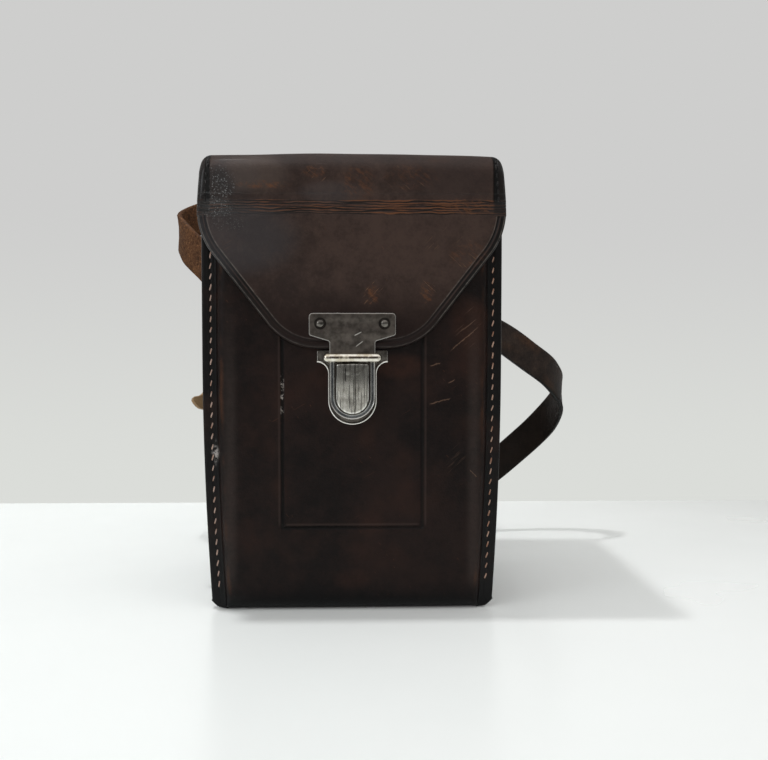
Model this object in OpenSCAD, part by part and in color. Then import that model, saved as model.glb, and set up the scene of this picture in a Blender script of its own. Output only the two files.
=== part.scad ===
// Moulded leather carrying case for an upright roll-film camera.
// A lid folds back on the rear panel, a flap folds on the lid and a spring catch holds the flap.
// Millimetres, +Z up, the front faces -Y, the origin is at the centre of the base's underside.

/* [Body] */
// Overall height with the lid shut
case_h = 173.5; // [160:0.5:185]
// Width over the sewn seams above the taper
body_w = 114; // [108:1:120]
// Width over the sewn seams at the base
base_w = 107.5; // [102:0.5:113]
// Depth over the moulded front and back
body_d = 106; // [98:1:116]
// Height below which the sides draw in
taper_h = 95; // [70:1:96]
// Thickness of the body leather
leather = 2.2; // [1.8:0.1:2.6]
// Width of the sewn seam flange
flange_w = 5.5; // [5:0.1:6.5]
// Step from the seam flange out to the moulded face
mould_step = 4; // [3.2:0.1:5]
// Distance of the side wall inside the flange edge
side_set = 2.6; // [2:0.1:3]
// Lower corner radius of the seam flange
flange_r = 4.5; // [4:0.5:9]
// Height of the side walls' flange above the ground
flange_foot = 3; // [2.6:0.1:4]
// Height of the moulded panels' flange above the ground
panel_foot = 0.8; // [0.4:0.1:2]
// Corner radius of the base panel
base_r = 5; // [3:0.5:7]

/* [Pressed panel] */
// Width of the pressed line on the front
panel_w = 52; // [44:1:60]
// Height of the lower pressed line
panel_z = 32; // [20:1:40]
// Width of the pressed line
crease_w = 0.8; // [0.5:0.1:1.2]
// Depth of the pressed line
crease_t = 0.35; // [0.2:0.05:0.6]

/* [Lining] */
// Thickness of the cloth lining
lining_t = 0.8; // [0.6:0.1:1]
// Thickness of the stiff base board
board_t = 1.6; // [1:0.1:2.4]
// Gap round loose-laid pieces
lay_gap = 0.3; // [0.2:0.1:0.6]

/* [Lid] */
// Width of the lid beyond the seams, both sides together
lid_over = 1; // [0:0.5:2]
// Thickness of the lid and flap leather
lid_t = 2.4; // [2:0.1:2.5]
// Depth of the lid's front wall, from the top to the crease
lid_drop = 20.5; // [18:0.5:22]
// Depth of the hinge line below the top
hinge_drop = 8.5; // [8:0.5:9.5]
// Drop of the front rim below the top
rim_drop = 12; // [11:0.5:14]
// Rise of the lid's top over its width
lid_rise = 1; // [0.5:0.1:2]
// Side edge radius of the lid
lid_side_r = 4; // [3:0.5:5]
// Front edge radius of the lid
lid_front_r = 8; // [5:0.5:9]
// Back edge radius of the lid
lid_back_r = 7; // [5:0.5:7.5]
// Gap between the flap and the moulded front
flap_gap = 0.5; // [0.4:0.1:0.8]

/* [Flap] */
// Length of the flap below the crease
flap_h = 53.4; // [50:0.2:58]
// Width of the straight lower edge
flap_foot_w = 26; // [22:1:32]
// Lower corner radius of the flap
flap_foot_r = 24; // [20:0.5:27]
// Upper side radius of the flap
flap_side_r = 27.5; // [24:0.5:30]
// Straight side of the flap under the crease
flap_side_h = 1.5; // [1:0.5:4]
// Distance of the tooled line from the flap's edge
tool_inset = 2.4; // [1.8:0.1:3]

/* [Hasp] */
// Width of the hasp's riveted head
hasp_w = 32.6; // [30:0.2:36]
// Height of the head's straight sides
hasp_side_h = 8.5; // [7.5:0.1:10]
// Drop of the head's sloping shoulder
hasp_slope_h = 2.3; // [1.5:0.1:3]
// Height of the head's top above the flap's edge
hasp_over = 13.4; // [12.6:0.1:15]
// Width of the tongue
tongue_w = 17.2; // [16.8:0.1:18]
// Length of the tongue below the flap's edge
tongue_drop = 26.5; // [25.5:0.1:28]
// Sheet thickness of the hasp
hasp_t = 1.2; // [1:0.1:1.5]
// Sheet thickness of the cover behind the tongue
cover_t = 0.5; // [0.4:0.1:0.6]
// Height of the frame round the button
frame_t = 1.7; // [1.5:0.1:2]
// Length of the cross bar
bar_l = 22; // [20:0.2:23]
// Diameter of the cross bar
bar_d = 3.6; // [3.2:0.1:3.8]
// Distance of the cross bar below the flap's edge
bar_drop = 3.4; // [3:0.1:3.6]

/* [Button] */
// Width of the press button
button_w = 12.4; // [12:0.1:12.8]
// Distance of the button's top below the cross bar's middle
button_top = 2.2; // [2.1:0.1:2.6]
// Distance of the button's foot above the tongue's end
button_foot = 2.2; // [1.9:0.1:2.5]
// Height of the button over the hasp sheet
button_t = 2.8; // [2.6:0.1:3.2]
// Radius of the button's rounded face
button_r = 18; // [14:1:30]
// Wall of the drawn button
button_wall = 0.8; // [0.6:0.1:1]
// Width of the button's holding lip
button_lip = 0.6; // [0.4:0.1:0.7]
// Press travel of the button
button_travel = 1; // [0.8:0.1:1]
// Gap round the moving button
play = 0.35; // [0.3:0.05:0.45]

/* [Catch plate] */
// Width of the plate behind the tongue
catch_w = 18.4; // [18:0.1:19.4]
// Width over the ears of the plate
ear_w = 26.6; // [25:0.2:28]
// Height of the ears
ear_h = 4.6; // [4:0.1:5]
// Drop of the ears below the flap's edge
ear_gap = 0.6; // [0.5:0.1:1]
// Distance of the plate's end below the tongue's end
catch_over = 2.2; // [1.8:0.1:2.6]
// Sheet thickness of the plate
catch_t = 1; // [0.8:0.1:1.1]
// Height of the turned-up rim
rim_t = 1.1; // [0.8:0.1:1.2]
// Width of the turned-up rim
rim_w = 0.8; // [0.6:0.1:1]
// Distance of the stud below the flap's edge
stud_drop = 18.2; // [17.4:0.2:19]
// Diameter of the stud's head
stud_d = 3.4; // [3:0.1:3.6]
// Diameter of the stud's neck
stud_neck_d = 2.2; // [2:0.1:2.3]

/* [Rivets] */
// Diameter of the rivet heads
rivet_d = 2.9; // [2.6:0.1:3.2]
// Height of the rivet heads
rivet_h = 0.9; // [0.7:0.1:1.1]
// Diameter of the rivet shanks
shank_d = 1.8; // [1.6:0.1:2]
// Diameter of the washers behind the leather
washer_d = 4.4; // [4:0.2:5]
// Thickness of the washers
washer_t = 0.5; // [0.4:0.1:0.6]
// Spacing of the rivets in the hasp's head
hasp_rivet_gap = 24; // [23:0.2:26]
// Gap between a shank and its hole, on the diameter
rivet_play = 0.1; // [0.06:0.02:0.2]

/* [Strap] */
// Width of the carrying strap
strap_w = 15; // [13:0.5:17]
// Thickness of the carrying strap
strap_t = 2.4; // [2:0.1:2.6]
// Thickness of the leather patch under each strap end
patch_t = 1.5; // [1.2:0.1:1.8]
// Length of the patch
patch_l = 34; // [30:1:36]
// Width of the patch
patch_w = 24; // [20:1:27]
// Diameter of the strap rivets' heads
strap_rivet_d = 7; // [6:0.2:8]

/* [Hidden] */
$fn = 40;

// Heights that hang from the overall height
hinge_z = case_h - hinge_drop;
rim_z = case_h - rim_drop;
crease_z = case_h - lid_drop;
seam_top_z = crease_z - 3;
flap_z = crease_z - flap_h;
// Levels through the front, counted from the middle of the case
front_y = -body_d / 2;
flange_y = front_y + mould_step;
seam_y = flange_y + leather;
foot_r = mould_step + leather;
leaf_y = front_y - flap_gap - lid_t;
hasp_y = leaf_y - hasp_t;
plate_y = front_y - catch_t;
roof_y = hasp_y - button_t + button_wall;
// Half widths
neck_x = body_w / 2 - side_set;
lid_w = body_w + lid_over;
lid_x = lid_w / 2;
// Heights in the catch
hasp_z = flap_z + hasp_over;
hasp_rivet_z = hasp_z - 4;
tongue_z = flap_z - tongue_drop;
bar_z = flap_z - bar_drop;
button_z = tongue_z + button_foot;
button_top_z = bar_z - button_top;
catch_z = tongue_z - catch_over;
ear_z = flap_z - ear_gap;
stud_z = flap_z - stud_drop;
catch_rivet_z = [flap_z - 7, flap_z - 23.6];
sink_t = 1;
// Glue line behind the side lining, and the slack under the strap's riveted ends
glue_gap = 0.05;
seat_gap = 0.08;
// Strap ends on the side walls: middle of the two rivets, slope and spacing
strap_x = neck_x + patch_t + seat_gap + strap_t / 2;
anchor_right = [12, 118, -0.25];
anchor_left = [16, 103.5, 0.75];
rivet_gap = 13;
// Points along the strap, from its right end round the back to its left end.
// The fourth number is the lean of the strap's width: 0 upright, 1 level from front to back
ROUTE = [
    [strap_x, -2, 121.5, 0], [strap_x, 13, 117.75, 0], [strap_x, 28, 114, 0],
    [strap_x + 1.2, 38, 111.2, 0], [63, 48, 108.5, 0], [73.5, 57, 103.8, 0], [87, 65, 95, 0],
    [99.5, 73, 86, 0], [106, 84, 75.5, 0], [101.5, 95.5, 62, 0], [87.5, 102.5, 46.5, 0], [68, 104, 30.5, 0.05],
    [46, 104, 17, 0.3], [24, 104, 7, 0.75], [2, 104, 2.2, 1], [-22, 104, 1.6, 1], [-44, 103, 2, 1],
    [-58, 100.5, 5.5, 1], [-64, 96.5, 12.5, 1], [-58, 92, 19, 1], [-44, 88.5, 17, 1], [-26, 86.5, 9, 1],
    [-6, 86, 2.4, 1], [14, 86, 2, 1], [30, 86, 8, 1], [39, 86, 24, 1], [42, 86, 48, 1], [42, 86, 78, 1],
    [40, 86, 110, 1], [34, 86, 138, 1], [20, 86, 159, 1], [-2, 86, 172, 1], [-28, 86, 176, 0.9],
    [-52, 85, 171.5, 0.5], [-71.5, 80, 165.5, 0.12], [-83, 70, 158, 0], [-79, 58.5, 149, 0],
    [-67, 48.5, 136.5, 0], [-strap_x - 1.2, 38, 121.5, 0], [-strap_x, 28, 112.5, 0],
    [-strap_x, 15, 102.75, 0], [-strap_x, 0, 91.5, 0], [-strap_x - 0.6, -6, 86.6, 0],
    [-strap_x - 3, -11, 81.6, 0.15], [-strap_x - 8.5, -15.5, 78.6, 0.3]];

// Half width of the body over its seams at height z
function half_w(z) = body_w / 2 - (body_w - base_w) / 2 * pow(max(0, 1 - z / taper_h), 2);

// Points on an arc
function arc(cx, cz, r, a0, a1, n) =
    [for (i = [0:n]) let (a = a0 + (a1 - a0) * i / n) [cx + r * cos(a), cz + r * sin(a)]];

// A right-hand edge, from the bottom up, closed with its mirror image
function closed(right) =
    concat(right, [for (i = [len(right) - 1:-1:0]) [-right[i][0], right[i][1]]]);

// The body's side curve, moved in by inset
function side_curve(inset, z0, z1) =
    [for (i = [0:9]) let (z = z0 + (z1 - z0) * i / 9) [half_w(z) - inset, z]];

// Outline of the sewn flange from angle a round its foot, narrowed to a neck that goes up inside the lid
function flange_edge(top, foot, a = -90) = concat(
    arc(half_w(foot + flange_r) - flange_r, foot + flange_r, flange_r, a, 0, 6),
    side_curve(0, foot + flange_r + 2, seam_top_z - side_set),
    arc(neck_x, seam_top_z - side_set, side_set, 15, 90, 4),
    [[neck_x, top]]);

// Outline with upright sides and a round lower end
function tongue_edge(half, z0, z1) = concat(arc(0, z0 + half, half, -90, 0, 12), [[half, z1]]);

// Direction in which the flap's straight side faces
flap_c1 = [lid_x - flap_side_r, crease_z - flap_side_h];
flap_c2 = [flap_foot_w / 2, flap_z + flap_foot_r];
flap_dir = atan2(flap_c2[1] - flap_c1[1], flap_c2[0] - flap_c1[0]);
flap_turn = acos((flap_side_r - flap_foot_r) / norm(flap_c2 - flap_c1));
flap_a = flap_dir + flap_turn;

// Outline of the flap, moved in by inset
function flap_edge(inset) = concat(
    arc(flap_c2[0], flap_c2[1], flap_foot_r - inset, -90, flap_a, 8),
    arc(flap_c1[0], flap_c1[1], flap_side_r - inset, flap_a, 0, 6),
    [[lid_x - inset, crease_z]]);

// Outline of the catch plate, moved in by inset
ear_r = (ear_w - catch_w) / 2;
ear_c = [ear_w / 2, ear_z - ear_h - ear_r];
function catch_edge(inset) = concat(
    arc(0, catch_z + catch_w / 2, catch_w / 2 - inset, -90, 0, 12),
    arc(ear_c[0], ear_c[1], ear_r + inset, 180, 90 + asin(inset / (ear_r + inset)), 6),
    [[ear_w / 2 - inset, ear_z]]);

// Outline of the hasp, from the tongue's end to the riveted head
function hasp_edge() = concat(
    arc(0, tongue_z + tongue_w / 2, tongue_w / 2, -90, 0, 12),
    [[tongue_w / 2, hasp_z - hasp_side_h - hasp_slope_h]],
    arc(hasp_w / 2 - 1.2, hasp_z - hasp_side_h + 1, 1.2, -70, 0, 4),
    arc(hasp_w / 2 - 1.5, hasp_z - 1.5, 1.5, 0, 90, 5));

// Lid silhouette seen from the front, moved in by inset
function lid_edge(inset, z0) = concat(
    [[lid_x - inset, z0]],
    arc(lid_x - lid_side_r, case_h - lid_rise - lid_side_r, lid_side_r - inset, 0, 84, 6),
    [for (i = [1:6]) let (x = (lid_x - lid_side_r) * (1 - i / 6))
        [x, case_h - inset - lid_rise * pow(x / (lid_x - lid_side_r), 2)]]);

// Lid profile seen from the side, moved in by inset
function lid_profile(inset, z0) = concat(
    [[-front_y - inset, z0]],
    arc(-front_y - lid_back_r, case_h - lid_back_r, lid_back_r - inset, 0, 90, 8),
    arc(leaf_y + lid_front_r, case_h - lid_front_r, lid_front_r - inset, 90, 180, 8),
    [[leaf_y + inset, z0]]);

// Plate with an outline in X and Z, from y to y + t
module plate(points, y, t) {
    translate([0, y + t, 0])
        rotate([90, 0, 0])
            linear_extrude(t)
                polygon(points);
}

// Prism with an outline in Y and Z, across the width
module across(points, half) {
    translate([-half, 0, 0])
        rotate([90, 0, 90])
            linear_extrude(2 * half)
                polygon(points);
}

// Round hole or bar along Y, from y to y + l
module pin_y(x, z, d, y, l) {
    translate([x, y, z])
        rotate([-90, 0, 0])
            cylinder(d = d, h = l);
}

// Round hole or bar along X, from x to x + l
module pin_x(y, z, d, x, l) {
    translate([x, y, z])
        rotate([0, 90, 0])
            cylinder(d = d, h = l);
}

// Domed rivet: the head sits on z = 0 and faces +Z, the shank is l long
module rivet(d, h, l) {
    r = (d * d / 4 + h * h) / (2 * h);
    intersection() {
        translate([0, 0, h - r])
            sphere(r = r);
        cylinder(d = d + 1, h = h + 1);
    }
    translate([0, 0, -l])
        cylinder(d = shank_d, h = l + 0.05);
}

// Flat ring washer on z = 0
module washer() {
    difference() {
        cylinder(d = washer_d, h = washer_t);
        translate([0, 0, -1])
            cylinder(d = shank_d + rivet_play, h = washer_t + 2);
    }
}

// Wet-moulded face with a rounded edge, as a solid block; grow is 0 outside and the leather inside
module moulded_block(top, grow) {
    r = mould_step - grow;
    hull()
        for (a = [-1, 0, 25, 50, 72, 90]) {
            y = a < 0 ? seam_y + grow / 2 - 0.02 : flange_y - r * sin(a);
            inset = flange_w + grow + (a < 0 ? 0 : r * (1 - cos(a)));
            dy = max(0, seam_y - y);
            z0 = foot_r - sqrt(max(0, pow(foot_r - grow, 2) - dy * dy));
            plate(closed(side_curve(inset, z0, top)), y, 0.02);
        }
}

// Moulded panel with its sewn flange, facing -Y
module moulded_panel(top) {
    difference() {
        union() {
            plate(closed(flange_edge(top, panel_foot)), flange_y, leather);
            moulded_block(top, 0);
        }
        moulded_block(top + 5, leather);
    }
}

// Side wall with a flange turned out at front and back, on the +X side
module gusset(anchor) {
    foot_a = -min(90, acos((flange_r - side_set - leather) / flange_r));
    difference() {
        union() {
            plate(concat(side_curve(side_set, leather, rim_z),
                [for (i = [9:-1:0]) side_curve(side_set + leather, leather, rim_z)[i]]),
                seam_y, -2 * seam_y);
            for (m = [0, 1])
                mirror([0, m, 0])
                    plate(concat(flange_edge(rim_z, flange_foot, foot_a),
                        [for (i = [9:-1:0]) side_curve(side_set + leather, flange_foot, rim_z)[i]]),
                        seam_y, leather);
        }
        for (p = anchor_points(anchor)) {
            pin_x(p[0], p[1], shank_d + rivet_play, neck_x - 10, 20);
            pin_x(p[0], p[1], washer_d + 0.2, neck_x - leather - 1, 1 + sink_t);
        }
    }
}

// The two rivet places of a strap end
function anchor_points(a) =
    [for (s = [-1, 1]) [a[0] + s * rivet_gap / 2, a[1] + s * rivet_gap / 2 * a[2]]];

// Leather patch under a strap end, on the +X side
module strap_patch(anchor) {
    difference() {
        translate([neck_x, anchor[0], anchor[1]])
            rotate([atan(anchor[2]), 0, 0])
                rotate([90, 0, 90])
                    linear_extrude(patch_t)
                        polygon(concat(
                            arc(patch_l / 2 - 5, patch_w / 2 - 5, 5, 0, 90, 5),
                            arc(5 - patch_l / 2, patch_w / 2 - 5, 5, 90, 180, 5),
                            arc(5 - patch_l / 2, 5 - patch_w / 2, 5, 180, 270, 5),
                            arc(patch_l / 2 - 5, 5 - patch_w / 2, 5, 270, 360, 5)));
        for (p = anchor_points(anchor))
            pin_x(p[0], p[1], shank_d + rivet_play, neck_x - 5, 15);
    }
}

module front_panel() {
    color([0.24, 0.15, 0.11])
        difference() {
            moulded_panel(rim_z);
            plate(closed([[panel_w / 2 + crease_w, panel_z - crease_w], [panel_w / 2 + crease_w, flap_z + 20],
                [panel_w / 2, flap_z + 20], [panel_w / 2, panel_z]]), front_y - 1, 1 + crease_t);
            for (z = concat(catch_rivet_z, [stud_z])) {
                pin_y(0, z, shank_d + rivet_play, front_y - 5, 15);
                pin_y(0, z, washer_d + 0.2, front_y + leather - sink_t, 5);
            }
        }
}

module back_panel() {
    color([0.23, 0.14, 0.10])
        mirror([0, 1, 0])
            moulded_panel(hinge_z);
}

module base_panel() {
    hw = half_w(leather) - side_set;
    color([0.20, 0.12, 0.09])
        linear_extrude(leather)
            polygon(concat(
                arc(hw - base_r, -seam_y - base_r, base_r, 0, 90, 6),
                arc(base_r - hw, -seam_y - base_r, base_r, 90, 180, 6),
                arc(base_r - hw, seam_y + base_r, base_r, 180, 270, 6),
                arc(hw - base_r, seam_y + base_r, base_r, 270, 360, 6)));
}

module side_gusset_left() {
    color([0.22, 0.13, 0.10])
        mirror([1, 0, 0])
            gusset(anchor_left);
}

module side_gusset_right() {
    color([0.22, 0.13, 0.10])
        gusset(anchor_right);
}

module front_lining() {
    color([0.36, 0.10, 0.12])
        plate(closed(side_curve(flange_w + mould_step + 1, foot_r + 1, rim_z - 3)),
            front_y + leather, lining_t);
}

module back_lining() {
    color([0.36, 0.10, 0.12])
        mirror([0, 1, 0])
            plate(closed(side_curve(flange_w + mould_step + 1, foot_r + 1, hinge_z - 3)),
                front_y + leather, lining_t);
}

// Cloth on the inside of a side wall, on the +X side
module side_lining() {
    z0 = leather + board_t + lining_t + lay_gap;
    inset = side_set + leather + glue_gap;
    plate(concat(side_curve(inset, z0, rim_z - 3),
        [for (i = [9:-1:0]) side_curve(inset + lining_t, z0, rim_z - 3)[i]]),
        seam_y + lay_gap, -2 * (seam_y + lay_gap));
}

module side_lining_left() {
    color([0.36, 0.10, 0.12])
        mirror([1, 0, 0])
            side_lining();
}

module side_lining_right() {
    color([0.36, 0.10, 0.12])
        side_lining();
}

// Half width of what lies on the base
floor_x = half_w(0) - side_set - leather - lay_gap;

module base_board() {
    color([0.45, 0.36, 0.26])
        translate([-floor_x, seam_y + lay_gap, leather])
            cube([2 * floor_x, -2 * (seam_y + lay_gap), board_t]);
}

module base_lining() {
    color([0.36, 0.10, 0.12])
        translate([-floor_x, seam_y + lay_gap, leather + board_t])
            cube([2 * floor_x, -2 * (seam_y + lay_gap), lining_t]);
}

module catch_plate() {
    color([0.62, 0.61, 0.58])
        difference() {
            union() {
                plate(closed(catch_edge(0)), plate_y, catch_t);
                difference() {
                    plate(closed(catch_edge(0)), plate_y - rim_t, rim_t);
                    plate(concat(closed(concat(catch_edge(rim_w), [[ear_w / 2 - rim_w, ear_z + 1]]))),
                        plate_y - rim_t - 1, rim_t + 1);
                }
            }
            for (z = concat(catch_rivet_z, [stud_z]))
                pin_y(0, z, shank_d + rivet_play, front_y - 5, 10);
        }
}

module catch_stud() {
    head_y = hasp_y + 0.2;
    head_h = head_y - roof_y - button_travel - play;
    color([0.70, 0.68, 0.62]) {
        pin_y(0, stud_z, stud_neck_d, head_y, plate_y - head_y);
        translate([0, head_y, stud_z])
            rotate([90, 0, 0])
                intersection() {
                    cylinder(d = stud_d, h = head_h);
                    translate([0, 0, head_h - 2.6])
                        sphere(r = 2.6);
                }
        pin_y(0, stud_z, shank_d, plate_y - 0.05, catch_t + leather - 0.1);
    }
}

module catch_rivets() {
    color([0.66, 0.64, 0.60])
        for (z = catch_rivet_z)
            translate([0, plate_y, z])
                rotate([90, 0, 0])
                    rivet(rivet_d + 1, 0.6, catch_t + leather - 0.15);
}

module catch_washers() {
    color([0.66, 0.55, 0.30])
        for (z = concat(catch_rivet_z, [stud_z]))
            translate([0, front_y + leather - sink_t, z])
                rotate([-90, 0, 0])
                    washer();
}

module strap_patch_left() {
    color([0.20, 0.12, 0.09])
        mirror([1, 0, 0])
            strap_patch(anchor_left);
}

module strap_patch_right() {
    color([0.20, 0.12, 0.09])
        strap_patch(anchor_right);
}

// A smooth curve through four points of a route
function between(a, b, c, d, t) =
    0.5 * (2 * b + (c - a) * t + (2 * a - 5 * b + 4 * c - d) * t * t + (3 * b - a - 3 * c + d) * t * t * t);

function curve(r) = let (n = len(r) - 1) concat(
    [for (i = [0:n - 1]) for (k = [0, 0.5])
        between(r[max(i - 1, 0)], r[i], r[i + 1], r[min(i + 2, n)], k)],
    [r[n]]);

function unit(v) = v / norm(v);

// Rings of a flat band, with its width leaning as the route's fourth number says
module band(route, w, t) {
    path = curve(route);
    n = len(path) - 1;
    line = [for (p = path) [p[0], p[1], p[2]]];
    ends = [0.15, 0.62, 0.9];
    section = [[1, -0.6], [1, 0.6], [0.94, 1], [-0.94, 1], [-1, 0.6], [-1, -0.6], [-0.94, -1], [0.94, -1]];
    rings = [for (i = [0:n])
        let (d = unit(line[min(i + 1, n)] - line[max(i - 1, 0)]))
        let (lean = [0, path[i][3], 1 - path[i][3]])
        let (up = unit(lean - (lean * d) * d))
        let (out = cross(d, up))
        let (near = min(i, n - i))
        let (half = w / 2 * (near < len(ends) ? ends[near] : 1))
        for (s = section) line[i] + up * s[0] * half + out * s[1] * t / 2];
    walls = [for (i = [0:n - 1]) for (k = [0:7])
        let (a = i * 8 + k)
        let (b = i * 8 + (k + 1) % 8)
        each [[a, b, b + 8], [a, b + 8, a + 8]]];
    caps = [[for (k = [7:-1:0]) k], [for (k = [0:7]) n * 8 + k]];
    polyhedron(points = rings, faces = concat(walls, caps), convexity = 8);
}

module strap() {
    color([0.21, 0.13, 0.10])
        difference() {
            band(ROUTE, strap_w, strap_t);
            for (p = anchor_points(anchor_right))
                pin_x(p[0], p[1], shank_d + rivet_play, neck_x, 10);
            for (p = anchor_points(anchor_left))
                pin_x(p[0], p[1], shank_d + rivet_play, -neck_x - 10, 10);
        }
}

// Rivets of one strap end, on the +X side
module strap_end_rivets(anchor) {
    for (p = anchor_points(anchor))
        translate([neck_x + patch_t + strap_t + seat_gap, p[0], p[1]])
            rotate([0, 90, 0])
                rivet(strap_rivet_d, 1.4, strap_t + patch_t + leather - 0.1);
}

module strap_rivets() {
    color([0.62, 0.60, 0.56]) {
        strap_end_rivets(anchor_right);
        mirror([1, 0, 0])
            strap_end_rivets(anchor_left);
    }
}

// Washers of one strap end, on the +X side
module strap_end_washers(anchor) {
    for (p = anchor_points(anchor))
        translate([neck_x - leather + sink_t, p[0], p[1]])
            rotate([0, -90, 0])
                washer();
}

module strap_washers() {
    color([0.66, 0.55, 0.30]) {
        strap_end_washers(anchor_right);
        mirror([1, 0, 0])
            strap_end_washers(anchor_left);
    }
}

module lid_top() {
    color([0.27, 0.17, 0.13])
        difference() {
            intersection() {
                across(lid_profile(0, crease_z), lid_x + 1);
                plate(closed(lid_edge(0, crease_z)), -body_d, 2 * body_d);
            }
            intersection() {
                across(lid_profile(lid_t, crease_z - 1), lid_x + 1);
                plate(closed(lid_edge(lid_t, crease_z - 1)), -body_d, 2 * body_d);
            }
            translate([-lid_w, leaf_y + lid_t, crease_z - 10])
                cube([2 * lid_w, 2 * body_d, hinge_z - crease_z + 10]);
        }
}

// Lower side wall of the lid, on the +X side
module lid_skirt() {
    back = -front_y - 3.5;
    corner = 5;
    translate([lid_x - lid_t, 0, 0])
        rotate([90, 0, 90])
            linear_extrude(lid_t)
                polygon(concat(
                    [[back, hinge_z], [leaf_y + lid_t, hinge_z], [leaf_y + lid_t, crease_z]],
                    arc(back - corner, crease_z + corner, corner, -90, 0, 6)));
}

module lid_skirt_left() {
    color([0.26, 0.16, 0.12])
        mirror([1, 0, 0])
            lid_skirt();
}

module lid_skirt_right() {
    color([0.26, 0.16, 0.12])
        lid_skirt();
}

module lid_lining() {
    half_d = body_d / 2 - 12;
    color([0.36, 0.10, 0.12])
        intersection() {
            difference() {
                plate(closed(lid_edge(lid_t, case_h - lid_t - lid_rise - 1)), -half_d, 2 * half_d);
                translate([0, 0, -lining_t])
                    plate(closed(lid_edge(lid_t, case_h - lid_t - lid_rise - 4)), -body_d, 2 * body_d);
            }
            translate([6 - lid_x, -body_d, 0])
                cube([lid_w - 12, 2 * body_d, 2 * case_h]);
        }
}

module flap_leaf() {
    color([0.27, 0.17, 0.13])
        difference() {
            plate(closed(flap_edge(0)), leaf_y, lid_t);
            difference() {
                plate(closed(flap_edge(tool_inset)), leaf_y - 1, 1.5);
                plate(closed(concat(flap_edge(tool_inset + 0.9),
                    [[lid_x - tool_inset - 0.9, crease_z + 1]])), leaf_y - 2, 3);
            }
            for (s = [-1, 1]) {
                pin_y(s * hasp_rivet_gap / 2, hasp_rivet_z, shank_d + rivet_play, leaf_y - 5, 15);
                pin_y(s * hasp_rivet_gap / 2, hasp_rivet_z, washer_d + 0.2, leaf_y + lid_t - sink_t, 5);
            }
        }
}

module hasp_plate() {
    window = button_w / 2 + button_lip + play;
    color([0.60, 0.58, 0.55])
        difference() {
            plate(closed(hasp_edge()), hasp_y, hasp_t);
            plate(closed(tongue_edge(window, button_z - button_lip - play, button_top_z + button_lip + play)),
                hasp_y - 1, hasp_t + 2);
            for (s = [-1, 1])
                pin_y(s * hasp_rivet_gap / 2, hasp_rivet_z, shank_d + rivet_play, hasp_y - 5, 10);
        }
}

module hasp_frame() {
    room = button_w / 2 + play;
    recess = room + button_lip;
    color([0.55, 0.54, 0.52])
        difference() {
            union() {
                plate(closed(tongue_edge(tongue_w / 2, tongue_z, bar_z)), hasp_y - frame_t, frame_t);
                intersection() {
                    translate([0, hasp_y - 1.3, bar_z]) {
                        translate([bar_d / 2 - bar_l / 2, 0, 0])
                            rotate([0, 90, 0])
                                cylinder(d = bar_d, h = bar_l - bar_d);
                        for (s = [-1, 1])
                            translate([s * (bar_l - bar_d) / 2, 0, 0])
                                sphere(d = bar_d);
                    }
                    translate([-bar_l, hasp_y - 10, bar_z - 10])
                        cube([2 * bar_l, 10, 20]);
                }
            }
            plate(closed(tongue_edge(room, button_z - play, button_top_z + play)), hasp_y - 10, 11);
            plate(closed(tongue_edge(recess, button_z - button_lip - play, button_top_z + button_lip + play)),
                hasp_y - 0.9, 2);
        }
}

module hasp_cover() {
    slot = stud_d / 2 + 0.6;
    color([0.52, 0.51, 0.49])
        difference() {
            plate(closed(tongue_edge(tongue_w / 2 - 0.4, tongue_z + 0.4, flap_z - 0.6)), leaf_y, cover_t);
            plate(closed(tongue_edge(slot, stud_z - slot - 4.4, stud_z + slot)), leaf_y - 1, cover_t + 2);
        }
}

module hasp_rivets() {
    color([0.66, 0.64, 0.60])
        for (s = [-1, 1])
            translate([s * hasp_rivet_gap / 2, hasp_y, hasp_rivet_z])
                rotate([90, 0, 0])
                    rivet(rivet_d, rivet_h, hasp_t + lid_t - 0.1);
}

module hasp_washers() {
    color([0.66, 0.55, 0.30])
        for (s = [-1, 1])
            translate([s * hasp_rivet_gap / 2, leaf_y + lid_t - sink_t, hasp_rivet_z])
                rotate([-90, 0, 0])
                    washer();
}

module latch_spring() {
    wire = 0.6;
    leg_x = stud_neck_d / 2 + 0.15 + wire / 2;
    leg_y = leaf_y - 0.02 - wire / 2;
    leg_top = stud_z + 6;
    color([0.48, 0.47, 0.45]) {
        for (s = [-1, 1])
            translate([s * leg_x, leg_y, stud_z - 2.4])
                cylinder(d = wire, h = leg_top - stud_z + 2.4, $fn = 16);
        translate([0, leg_y, leg_top])
            rotate([90, 0, 0])
                rotate_extrude(angle = 180, $fn = 24)
                    translate([leg_x, 0])
                        circle(d = wire, $fn = 16);
    }
}

module button_spring() {
    strip = 0.35;
    rise = leaf_y - roof_y - 0.1;
    span = 3.6;
    r = (span * span + rise * rise) / (2 * rise);
    a = asin(span / r);
    color([0.50, 0.49, 0.47])
        translate([0, leaf_y - 0.05 - rise + r, button_top_z - 6])
            linear_extrude(3.6)
                polygon(concat(
                    arc(0, 0, r, 270 - a, 270 + a, 10),
                    arc(0, 0, r - strip, 270 + a, 270 - a, 10)));
}

module press_button() {
    half = button_w / 2;
    face_y = hasp_y - button_t;
    back_y = hasp_y - 0.05;
    color([0.74, 0.72, 0.67])
        difference() {
            union() {
                intersection() {
                    plate(closed(tongue_edge(half, button_z, button_top_z)), face_y - 1, back_y - face_y + 1);
                    translate([0, face_y + button_r, 0])
                        cylinder(r = button_r, h = case_h, $fn = 96);
                }
                plate(closed(tongue_edge(half + button_lip, button_z - button_lip,
                    button_top_z + button_lip)), back_y - 0.5, 0.5);
            }
            intersection() {
                plate(closed(tongue_edge(half - button_wall, button_z + button_wall,
                    button_top_z - button_wall)), face_y - 1, 10);
                translate([0, face_y + button_r, 0])
                    cylinder(r = button_r - button_wall, h = case_h, $fn = 96);
            }
        }
}

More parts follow.
